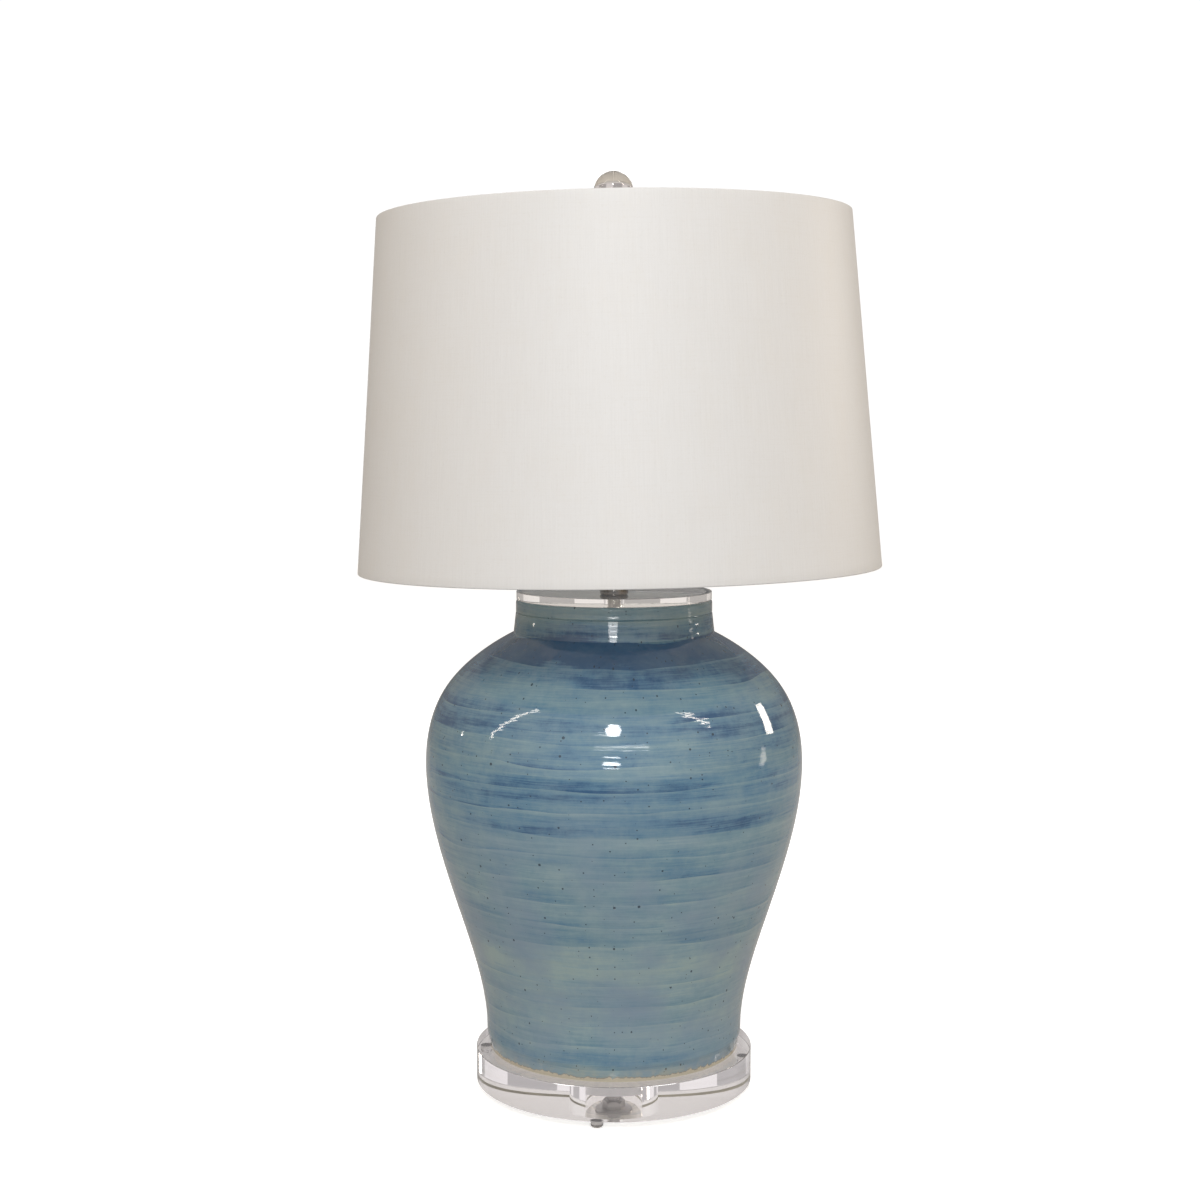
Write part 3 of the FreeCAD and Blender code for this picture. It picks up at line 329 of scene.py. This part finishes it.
def glaze_colour(s, blue, share):
    """Colour for how blue the glaze is, with paler clouds, and lilac patches that fade up the jar."""
    colour = s.ramp(blue, GLAZE_COLOURS)
    calm = s.math("SUBTRACT", 1.0, s.math("MULTIPLY", blue, 0.7))
    cloud = s.spread(s.noise(s.place(), 26.0, 5.0, 0.65), 0.45, 0.75, 0.0, 0.7)
    colour = s.mix(s.math("MULTIPLY", calm, cloud), colour, CLOUD_COLOUR)
    lilac = s.spread(s.noise(s.place(), 17.0, 4.0, 0.6), 0.42, 0.68, 0.0, 0.85)
    lilac = s.math("MULTIPLY", lilac, s.spread(share, 0.45, 0.65, 1.0, 0.15))
    return s.mix(s.math("MULTIPLY", calm, lilac), colour, LILAC_COLOUR)


def glaze_pits(s, z):
    """Round spots, one in some of the cells, no two the same size."""
    x, y, _ = s.split(s.place())
    angle = s.math("ARCTAN2", x, s.math("MULTIPLY", y, -1.0))
    wall = s.vector(s.math("MULTIPLY", angle, WALL_RADIUS), z, 0.0)
    layers = []
    for scale, rare, widest in PIT_LAYERS:
        cells = s.node("ShaderNodeTexVoronoi", voronoi_dimensions="2D", feature="F1")
        s.put(wall, cells.inputs["Vector"])
        cells.inputs["Scale"].default_value = scale
        chance = s.split(cells.outputs["Color"])
        reach = s.spread(chance[0], rare, 1.0, 0.0, widest)
        layers.append(s.math("LESS_THAN", cells.outputs["Distance"], reach))
    return s.math("MAXIMUM", *layers)


def glaze_relief(s, stroke, z, top, lines, pit):
    """Ridges from throwing, finger marks on the neck, brush marks and pits."""
    neck = s.spread(z, top - NECK_PART, top - 0.8 * NECK_PART)
    coils = s.math("MULTIPLY", s.math("SINE", s.math("MULTIPLY", z, 2 * math.pi / COIL_PITCH)), neck)
    ridges = s.bump(s.sum(stroke(1.2, 150.0, 2.0), s.math("MULTIPLY", coils, 0.4)), 0.35 * MM)
    brushed = s.bump(lines, 0.06 * MM, below=ridges)
    return s.bump(s.math("MULTIPLY", pit, -1.0), 0.12 * MM, below=brushed)


def glaze_material():
    """Blue glaze brushed on in level bands, darkest on the upper shoulder where painted shade is mixed in,
    glossy, with pits; bare clay at the foot, which glows as painted light where it faces down.
    """
    s = Shader("glaze")
    low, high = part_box("jar")
    foot, top = low[2], high[2]
    height = top - foot
    z = s.split(s.place())[2]
    stroke = glaze_strokes(s, z)
    sway = s.swing(stroke(0.9, 9.0, 1.0), BAND_SWAY)
    share = s.math("DIVIDE", s.math("SUBTRACT", s.sum(z, sway), foot), height)
    wander = s.math("MULTIPLY", stroke(0.7, 40.0, 2.0), 1.1)
    rings = s.sum(s.math("MULTIPLY", z, RING_COUNT / height), wander)
    lines = stroke(1.8, 330.0, 3.0, 0.6)
    colour = glaze_colour(s, glaze_blue_and_painted_shade(s, stroke, share, rings, lines), share)
    pit = glaze_pits(s, z)
    colour = s.mix(s.math("MULTIPLY", pit, 0.8), colour, PIT_COLOUR)

    creamy = s.spread(s.math("SUBTRACT", z, foot), 0.0, CREAM_HEIGHT, 1.0, 0.0)
    creamy = s.math("MULTIPLY", creamy, s.spread(stroke(7.0, 90.0, 4.0, 0.65), 0.42, 0.66))
    colour = s.mix(s.math("MULTIPLY", creamy, 0.75), colour, CREAM)
    edge = s.sum(z, s.swing(stroke(15.0, 30.0, 4.0, 0.7), RAGGED))
    clay = s.math("LESS_THAN", edge, foot + CLAY_HEIGHT)
    # a thin greyer band where the glaze meets the bare clay
    colour = s.mix(s.math("LESS_THAN", edge, foot + GREY_EDGE_HEIGHT), colour, GREY_EDGE)
    body = s.mix(s.noise(s.place(), 1400.0, 3.0, 0.7), DARK_CLAY, PALE_CLAY)
    colour = s.mix(clay, colour, body)
    roughness = s.sum(s.spread(stroke(3.0, 500.0), 0.3, 0.8, 0.03, 0.08), s.math("MULTIPLY", clay, 0.6))

    # painted light: where the bare clay faces down it glows in its own colour, standing in for light carried
    # through the acrylic base
    facing = s.split(s.node("ShaderNodeNewGeometry").outputs["True Normal"])
    painted_foot_glow = s.math("MULTIPLY", clay, s.math("LESS_THAN", facing[2], -0.5))
    return s.set(Base_Color=colour, Roughness=roughness, Normal=glaze_relief(s, stroke, z, top, lines, pit),
                 IOR=1.52, Coat_Weight=0.35, Coat_Roughness=0.03, Coat_IOR=1.5,
                 Emission_Color=body, Emission_Strength=s.math("MULTIPLY", painted_foot_glow, FOOT_GLOW))


def acrylic_material(name, colour):
    """Clear cast acrylic, polished, with a faint cast, hairline marks and a faint painted glow for light
    scattered inside it.
    """
    s = Shader(name)
    marks = s.noise(s.place(), 420.0, 5.0, 0.7)
    roughness = s.spread(marks, 0.55, 0.85, 0.0, 0.05)
    normal = s.bump(s.noise(s.place(), 30.0, 2.0), 0.02 * MM)
    # painted light: the acrylic glows faintly, standing in for light scattered inside it
    return s.set(Base_Color=colour, Roughness=roughness, Normal=normal,
                 IOR=1.49, Transmission_Weight=1.0,
                 Emission_Color=(1.0, 0.96, 0.97), Emission_Strength=ACRYLIC_PAINTED_GLOW)


def bumper_material():
    """Clear soft plastic, a little cloudy."""
    s = Shader("bumper")
    haze = s.noise(s.place(), 900.0, 3.0)
    return s.set(Base_Color=(0.90, 0.89, 0.88), Roughness=s.spread(haze, 0.3, 0.7, 0.08, 0.22),
                 IOR=1.45, Transmission_Weight=0.92)


def metal_material(name, colour, dull, roughness, grain=(1.0, 1.0, 1.0), tarnish=0.3):
    """Metal with drawn or turned grain, duller patches and small scratches."""
    s = Shader(name)
    scaled = s.node("ShaderNodeVectorMath", operation="MULTIPLY")
    s.put(s.place(), scaled.inputs[0])
    scaled.inputs[1].default_value = grain
    fine = s.noise(scaled.outputs[0], 900.0, 4.0, 0.7)
    patch = s.noise(s.place(), 140.0, 3.0, 0.6)
    tone = s.mix(s.spread(patch, 0.4, 0.75, 0.0, tarnish), colour, dull)
    tone = s.mix(s.math("MULTIPLY", fine, 0.25), tone, dull)
    rough = s.sum(s.spread(fine, 0.3, 0.7, roughness * 0.7, roughness * 1.4), s.math("MULTIPLY", patch, 0.06))
    return s.set(Base_Color=tone, Metallic=1.0, Roughness=rough, Normal=s.bump(fine, 0.01 * MM))


def moulded_material(name, colour, roughness):
    """Moulded plastic with a fine spark-eroded texture."""
    s = Shader(name)
    fine = s.noise(s.place(), 2600.0, 3.0, 0.6)
    patch = s.noise(s.place(), 90.0, 3.0)
    worn = tuple(0.6 * value + 0.02 for value in colour)
    tone = s.mix(s.spread(patch, 0.35, 0.75, 0.0, 0.3), colour, worn)
    return s.set(Base_Color=tone, Roughness=s.spread(fine, 0.3, 0.7, roughness, roughness + 0.12),
                 Normal=s.bump(fine, 0.02 * MM))


def cloth_material():
    """Off-white silk-like weave with upright slubs; its pattern runs in the cloth's UVs."""
    s = Shader("shade_cloth_weave")
    across, up, _ = s.split(s.place("UV"))

    def threads(across_scale, up_scale, detail=2.0):
        """Noise drawn out along or across the cloth."""
        place = s.vector(s.math("MULTIPLY", across, across_scale), s.math("MULTIPLY", up, up_scale), 0.0)
        return s.noise(place, 1.0, detail, 0.6, "2D")

    slub = threads(900.0, 26.0, 3.0)
    cross = threads(22.0, 1100.0)
    mottle = threads(40.0, 26.0, 3.0)
    specks = threads(520.0, 380.0, 4.0)
    warp = s.math("SINE", s.math("MULTIPLY", across, 2 * math.pi * WARP_THREADS))
    weft = s.math("SINE", s.math("MULTIPLY", up, 2 * math.pi * WEFT_THREADS))
    weave = s.math("MULTIPLY", warp, weft)
    tone = s.mix(s.spread(slub, 0.25, 0.75), srgb(222, 224, 226), srgb(226, 228, 230))
    tone = s.mix(s.spread(cross, 0.50, 0.80, 0.0, 0.12), tone, srgb(212, 211, 208))
    tone = s.mix(s.spread(mottle, 0.45, 0.75, 0.0, 0.12), tone, srgb(221, 218, 212))
    tone = s.mix(s.spread(specks, 0.58, 0.80, 0.0, 0.22), tone, srgb(208, 206, 201))
    reliefs = ((weave, 0.25), (slub, 0.35), (specks, 0.5), (cross, 0.4))
    height = s.sum(*(s.math("MULTIPLY", field, depth) for field, depth in reliefs))
    gloss = s.spread(slub, 0.25, 0.75, 0.46, 0.54)
    return s.set(Base_Color=tone, Roughness=gloss, Normal=s.bump(height, 0.03 * MM),
                 Sheen_Weight=0.12, Sheen_Roughness=0.45, Sheen_Tint=(1.0, 0.97, 0.92),
                 Specular_IOR_Level=0.75)


def lining_material():
    """Matt styrene lining with a faint fibre pattern."""
    s = Shader("lining")
    fibre = s.noise(s.place(), 700.0, 4.0, 0.7)
    tone = s.mix(s.spread(fibre, 0.35, 0.7), srgb(228, 225, 218), srgb(242, 240, 235))
    return s.set(Base_Color=tone, Roughness=0.6, Normal=s.bump(fibre, 0.03 * MM))


def painted_wire_material():
    """White enamel on steel wire."""
    s = Shader("painted_wire")
    fine = s.noise(s.place(), 1500.0, 3.0)
    tone = s.mix(s.spread(fine, 0.3, 0.75, 0.0, 0.5), srgb(236, 234, 228), srgb(210, 206, 198))
    return s.set(Base_Color=tone, Roughness=s.spread(fine, 0.3, 0.7, 0.3, 0.45),
                 Normal=s.bump(fine, 0.03 * MM))


def fibre_material():
    """Pressed paper sleeve."""
    s = Shader("fibre")
    fibres = s.noise(s.place(), 1100.0, 5.0, 0.75)
    tone = s.mix(fibres, srgb(120, 98, 66), srgb(176, 150, 108))
    return s.set(Base_Color=tone, Roughness=0.85, Normal=s.bump(fibres, 0.05 * MM))


def frosted_glass_material():
    """Etched white envelope of the bulb."""
    s = Shader("frosted_glass")
    etch = s.noise(s.place(), 3000.0, 2.0)
    cloud = s.noise(s.place(), 60.0, 3.0)
    tone = s.mix(s.spread(cloud, 0.35, 0.7), (0.93, 0.93, 0.91), (0.86, 0.86, 0.83))
    return s.set(Base_Color=tone, Roughness=s.spread(etch, 0.3, 0.7, 0.32, 0.45),
                 Transmission_Weight=0.2, IOR=1.5, Normal=s.bump(etch, 0.02 * MM))


def stem_glass_material():
    """Clear drawn glass of the bulb's stem."""
    s = Shader("stem_glass")
    drawn = s.noise(s.place(), 300.0, 2.0)
    return s.set(Base_Color=(0.9, 0.92, 0.92), Roughness=s.spread(drawn, 0.3, 0.7, 0.02, 0.08),
                 Transmission_Weight=0.9, IOR=1.5)


def dress_nodes():
    """Give every CAD node that stays in view its material."""
    acrylic = acrylic_material("acrylic", (0.975, 0.960, 0.955))
    # painted light: the cap disc's clear acrylic is tinted cream, standing in for warm light from the
    # lampshade's inside seen through it
    cap_acrylic_painted_light = acrylic_material("cap_acrylic_painted_light", (0.985, 0.965, 0.900))
    # painted shade: the finial ball's clear acrylic is tinted grey-brown, standing in for the dark inside of
    # the lampshade seen through it
    ball_painted_shade = acrylic_material("ball_acrylic_painted_shade", (0.74, 0.71, 0.68))
    zinc = metal_material("zinc", (0.40, 0.39, 0.38), (0.22, 0.21, 0.20), 0.30, (1.0, 1.0, 0.1))
    nickel = metal_material("nickel", (0.62, 0.59, 0.54), (0.40, 0.37, 0.33), 0.26)
    black_nickel = metal_material("black_nickel", (0.24, 0.23, 0.22), (0.08, 0.075, 0.07), 0.07,
                                  (0.2, 0.2, 1.0), 0.15)
    brass = metal_material("brass", (0.74, 0.53, 0.24), (0.42, 0.28, 0.11), 0.28)
    aluminium = metal_material("aluminium", (0.75, 0.75, 0.76), (0.5, 0.5, 0.5), 0.3)
    black = moulded_material("black_moulding", (0.018, 0.018, 0.019), 0.38)
    looks = {
        glaze_material(): ("jar",),
        acrylic: ("base_disc",),
        cap_acrylic_painted_light: ("cap_disc",),
        ball_painted_shade: ("finial_ball",),
        bumper_material(): ("foot_1", "foot_2", "foot_3", "foot_4"),
        zinc: ("lower_washer", "lower_nut", "lamp_pipe", "saddle_nut", "socket_set_screw",
               "terminal_screws"),
        nickel: ("harp_saddle", "harp_wire", "harp_plate", "harp_stud", "ferrule_left",
                 "ferrule_right", "socket_cap", "socket_shell", "finial_base", "switch_shaft"),
        black_nickel: ("neck_ring", "neck_riser", "finial_washer"),
        brass: ("screw_shell", "centre_contact", "bulb_tip"),
        aluminium: ("bulb_base",),
        black: ("cord_bushing", "socket_body", "switch_knob", "bulb_collar"),
        fibre_material(): ("socket_insulator",),
        frosted_glass_material(): ("bulb_glass",),
        stem_glass_material(): ("bulb_stem",),
        lining_material(): ("shade_liner",),
        painted_wire_material(): ("spider", "top_ring", "bottom_ring"),
    }
    for material, names in looks.items():
        for name in names:
            for slot in frame["nodes"][name].material_slots:
                slot.material = material


# ---- the shade's cloth -----------------------------------------------------
def add_object(name, data):
    """Put a mesh, a light or a camera into the scene."""
    made = bpy.data.objects.new(name, data)
    bpy.context.collection.objects.link(made)
    return made


def joint(name):
    """The frame's joint of that name."""
    return next(j for j in frame["joints"] if j["name"] == name)


def stud_matrix():
    """Frame of the harp's stud: origin at its foot, Z along it."""
    turn = joint("shade_turn")
    axis = Vector(turn["axis"]).normalized()
    lean = Vector((0, 0, 1)).rotation_difference(axis)
    return Matrix.Translation(turn["pos_m"]) @ lean.to_matrix().to_4x4()


def shade_sizes(to_stud):
    """(height, outer radius, inner radius) of the cloth's foot and rim, read from the CAD shade."""
    def local(name):
        """The node's points as (radius, height)."""
        placed = [to_stud @ v.co for v in frame["nodes"][name].data.vertices]
        return [(math.hypot(p.x, p.y), p.z) for p in placed]

    lower, cover, upper = local("bottom_hem"), local("shade_fabric"), local("top_hem")
    low = min(height for _, height in lower)
    high = max(height for _, height in upper)
    foot = min(height for _, height in cover)
    rim = max(height for _, height in cover)
    foot_radius = max(radius for radius, height in cover if height < foot + RIM_BAND)
    rim_radius = max(radius for radius, height in cover if height > rim - RIM_BAND)
    slope = (foot_radius - rim_radius) / (rim - foot)
    return (
        (low, foot_radius + slope * (foot - low), min(radius for radius, _ in lower)),
        (high, rim_radius - slope * (high - rim), min(radius for radius, _ in upper)),
    )


def corner(centre, start, end, steps=5):
    """Points of a round corner of the cloth's outline, between two angles."""
    points = []
    for step in range(steps + 1):
        angle = start + (end - start) * step / steps
        points.append((centre[0] + EDGE_ROUND * math.cos(angle), centre[1] + EDGE_ROUND * math.sin(angle)))
    return points


def cloth_outline(foot, rim):
    """The cloth's outer face as (radius, height).

    It runs down the inside of the foot, round the foot, up the cone, round the
    rim and down the inside of the rim.
    """
    low, low_radius, low_inner = foot
    high, high_radius, high_inner = rim
    quarter = math.pi / 2
    outline = [(low_inner, low + HEM - HEM * step / HEM_STEPS) for step in range(HEM_STEPS)]
    outline += corner((low_inner + EDGE_ROUND, low + EDGE_ROUND), 2 * quarter, 3 * quarter)
    outline += corner((low_radius - EDGE_ROUND, low + EDGE_ROUND), 3 * quarter, 4 * quarter)
    start, end = outline[-1], (high_radius, high - EDGE_ROUND)
    for step in range(1, CLOTH_STEPS_UP):
        share = step / CLOTH_STEPS_UP
        outline.append((start[0] + (end[0] - start[0]) * share, start[1] + (end[1] - start[1]) * share))
    outline += corner((high_radius - EDGE_ROUND, high - EDGE_ROUND), 0.0, quarter)
    outline += corner((high_inner + EDGE_ROUND, high - EDGE_ROUND), quarter, 2 * quarter)
    outline += [(high_inner, high - HEM * step / HEM_STEPS) for step in range(1, HEM_STEPS + 1)]
    return outline


def inset_outline(outline, depth):
    """The outline moved towards the cloth's inner face."""
    moved = []
    for index, (radius, height) in enumerate(outline):
        before = outline[max(index - 1, 0)]
        after = outline[min(index + 1, len(outline) - 1)]
        along = Vector((after[0] - before[0], after[1] - before[1])).normalized()
        moved.append((radius - along.y * depth, height + along.x * depth))
    return moved


def lengths_along(outline):
    """How far along the outline each of its points is."""
    run = [0.0]
    for start, end in zip(outline, outline[1:]):
        run.append(run[-1] + math.dist(start, end))
    return run


def cloth_points(outer, run, mean_radius, to_lamp):
    """Places and flat coordinates of the cloth's points: at each step round, both faces from foot to rim."""
    inner = inset_outline(outer, CLOTH)
    ramp_angle = SEAM_RAMP / mean_radius
    total = 2 * math.pi + SEAM_OVERLAP / mean_radius
    places, flat = [], []
    for step in range(CLOTH_STEPS_ROUND + 1):
        turn = total * step / CLOTH_STEPS_ROUND
        over = (turn - (2 * math.pi - ramp_angle)) / ramp_angle
        lift = (CLOTH + SEAM_GAP) * min(max(over, 0.0), 1.0)
        cosine, sine = math.cos(SEAM_ANGLE + turn), math.sin(SEAM_ANGLE + turn)
        for outline in (outer, inner):
            for (radius, height), length in zip(outline, run):
                ripple = Vector((RIPPLES_ROUND * cosine, RIPPLES_ROUND * sine, RIPPLES_UP * height))
                wave = noise.noise(ripple)
                outward = 1.0 if HEM < length < run[-1] - HEM else 0.0
                spread = radius + outward * (lift + CLOTH_RIPPLE * wave)
                places.append(to_lamp @ Vector((spread * cosine, spread * sine, height)))
                flat.append((turn * mean_radius, length))
    return places, flat


def cloth_faces(count):
    """Faces between the points: both sides, both hem edges and both ends, count points up each side."""
    ring = 2 * count
    faces = []
    for step in range(CLOTH_STEPS_ROUND):
        a, b = step * ring, (step + 1) * ring
        for i in range(count - 1):
            faces.append((a + i, b + i, b + i + 1, a + i + 1))
            faces.append((a + count + i + 1, b + count + i + 1, b + count + i, a + count + i))
        faces.append((a, a + count, b + count, b))
        faces.append((a + count - 1, b + count - 1, b + ring - 1, a + ring - 1))
    last = CLOTH_STEPS_ROUND * ring
    for i in range(count - 1):
        faces.append((i + 1, i + 1 + count, i + count, i))
        faces.append((last + i, last + i + count, last + i + 1 + count, last + i + 1))
    return faces


def make_cloth():
    """Cloth wrapped once round the shade and lapped over itself at the back."""
    to_lamp = stud_matrix()
    foot, rim = shade_sizes(to_lamp.inverted())
    outer = cloth_outline(foot, rim)
    run = lengths_along(outer)
    places, flat = cloth_points(outer, run, (foot[1] + rim[1]) / 2, to_lamp)
    mesh = bpy.data.meshes.new("shade_cloth")
    mesh.from_pydata(places, [], cloth_faces(len(outer)))
    layer = mesh.uv_layers.new(name="cloth")
    for loop in mesh.loops:
        layer.data[loop.index].uv = flat[loop.vertex_index]
    mesh.shade_smooth()
    cloth = add_object("shade_cloth", mesh)
    mesh.materials.append(cloth_material())
    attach(cloth, "shade")
    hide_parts("shade_fabric", "top_hem", "bottom_hem")


# ---- floor, light, camera --------------------------------------------------
def seen_and_through(s):
    """Whether a ray comes from the camera, and whether it has passed through acrylic."""
    path = s.node("ShaderNodeLightPath")
    return path.outputs["Is Camera Ray"], path.outputs["Is Transmission Ray"]


def floor_material():
    """Pale floor that the camera sees as white."""
    s = Shader("floor")
    seen, through = seen_and_through(s)
    pale = s.mix(s.noise(s.place(), 3.0), (0.98 * FLOOR_PALE,) * 3, (FLOOR_PALE,) * 3)
    tone = s.mix(seen, (FLOOR_BOUNCE,) * 3, pale)
    glow = s.sum(s.math("MULTIPLY", seen, FLOOR_GLOW), s.math("MULTIPLY", through, FLOOR_THROUGH))
    tint = s.mix(through, WHITE, THROUGH_TINT)
    return s.set(Base_Color=tone, Roughness=0.6, Specular_IOR_Level=0.1,
                 Emission_Color=tint, Emission_Strength=glow)


def make_floor():
    """Square floor under the lamp."""
    corners = [(-1, -1), (1, -1), (1, 1), (-1, 1)]
    mesh = bpy.data.meshes.new("floor")
    mesh.from_pydata([(x * FLOOR_HALF, y * FLOOR_HALF, 0) for x, y in corners], [], [(0, 1, 2, 3)])
    floor = add_object("floor", mesh)
    mesh.materials.append(floor_material())
    floor.location.z = -FLOOR_DROP


def light_place(turn, rise):
    """Place on a globe about the lamp: degrees round from the front, degrees up."""
    turn, rise = math.radians(turn), math.radians(rise)
    away = Vector((math.sin(turn) * math.cos(rise), -math.cos(turn) * math.cos(rise), math.sin(rise)))
    return Vector(LIGHT_TARGET) + away * LIGHT_REACH


def area_light(name, shape, width, length, place, along, glow, colour):
    """Light that faces the lamp, with its length in the given direction."""
    facing = (place - Vector(LIGHT_TARGET)).normalized()
    across = along.cross(facing).normalized()
    upward = facing.cross(across)
    data = bpy.data.lights.new(name, "AREA")
    data.shape = shape
    data.size, data.size_y = width, length
    data.energy = glow * math.pi * data.size * data.size_y
    data.color = colour
    light = add_object(name, data)
    light.location = place
    light.rotation_euler = Matrix((across, upward, facing)).transposed().to_euler()


def soft_light(name, shape, size, place, glow, colour=WHITE):
    """Light of the given width and height at one place on the globe."""
    area_light(name, shape, *size, light_place(*place), Vector((0, 0, 1)), glow, colour)


def strip_light(name, width, start, end, glow, colour=WHITE):
    """Straight strip between two places on the globe."""
    first, last = light_place(*start), light_place(*end)
    along = last - first
    area_light(name, "RECTANGLE", width, along.length, (first + last) / 2, along, glow, colour)


def make_lights():
    """Small soft lights whose reflections are the highlights on the glaze."""
    soft_light("flash_high", "ELLIPSE", (0.33, 0.46), (-1.0, 36.0), 17.0)
    soft_light("flash_low", "ELLIPSE", (0.40, 0.09), (-1.5, 8.5), 16.0)
    strip_light("flash_edge", 0.035, (-14.0, 31.5), (1.0, 31.0), 8.0)
    strip_light("flash_strip", 0.05, (-12.0, 21.0), (21.0, 20.4), 7.0)
    soft_light("back_fill", "RECTANGLE", (1.3, 1.1), (180.0, 34.0), 3.0)
    strip_light("window", 0.24, (115.0, 23.0), (109.0, 8.5), 12.0, WARM_LIGHT)
    strip_light("window_low", 0.14, (99.0, 3.0), (95.0, -4.0), 3.0, WARM_LIGHT)
    soft_light("bead_left", "ELLIPSE", (0.07, 0.06), (-105.0, 9.0), 24.0, WARM_LIGHT)
    strip_light("strip_left", 0.05, (-81.7, 15.4), (-47.8, 58.9), 13.0, WARM_LIGHT)
    strip_light("strip_right", 0.05, (33.7, 57.5), (66.0, 31.5), 20.0, WARM_LIGHT)


def make_world():
    """White behind the lamp; for light, a bright ceiling and front and dimmer, warmer sides."""
    world = bpy.data.worlds.new("studio")
    bpy.context.scene.world = world
    world.use_nodes = True
    s = NodeTree(world.node_tree)
    across, away, up = s.split(s.place("Generated"))
    rise = s.math("MAXIMUM", up, 0.0)
    front = s.math("MAXIMUM", s.math("MULTIPLY", away, -1.0), 0.0)
    side = s.math("ABSOLUTE", across)
    glow = s.sum(s.math("MULTIPLY", rise, CEILING_GLOW), BACK_GLOW,
                 s.math("MULTIPLY", front, FRONT_GLOW), s.math("MULTIPLY", side, SIDE_GLOW))
    wave = s.math("SINE", s.math("MULTIPLY", across, STRIPE_RATE))
    stripes = s.math("MULTIPLY", s.math("GREATER_THAN", wave, STRIPE_EDGE), THROUGH_SIDE)
    seen, through = seen_and_through(s)
    strength = s.mix(through, glow, s.sum(stripes, THROUGH_GLOW), "FLOAT")
    strength = s.mix(seen, strength, SEEN_GLOW, "FLOAT")
    tint = s.mix(s.math("POWER", side, 2.0), WHITE, SIDE_TINT)
    tint = s.mix(through, tint, THROUGH_TINT)
    tint = s.mix(seen, tint, WHITE)
    background = s.tree.nodes["Background"]
    s.put(strength, background.inputs["Strength"])
    s.put(tint, background.inputs["Color"])


def make_camera():
    """Camera in front of the lamp, looking down a little."""
    data = bpy.data.cameras.new("camera")
    data.sensor_width = SENSOR_WIDTH
    data.lens = CAMERA_LENS
    data.clip_start, data.clip_end = 0.05, 50.0
    camera = add_object("camera", data)
    camera.location = CAMERA_PLACE
    camera.rotation_euler = (math.pi / 2 - CAMERA_PITCH, 0, 0)
    bpy.context.scene.camera = camera
    bpy.context.scene.view_settings.view_transform = "Standard"


dress_nodes()
make_cloth()
make_floor()
make_lights()
make_world()
make_camera()
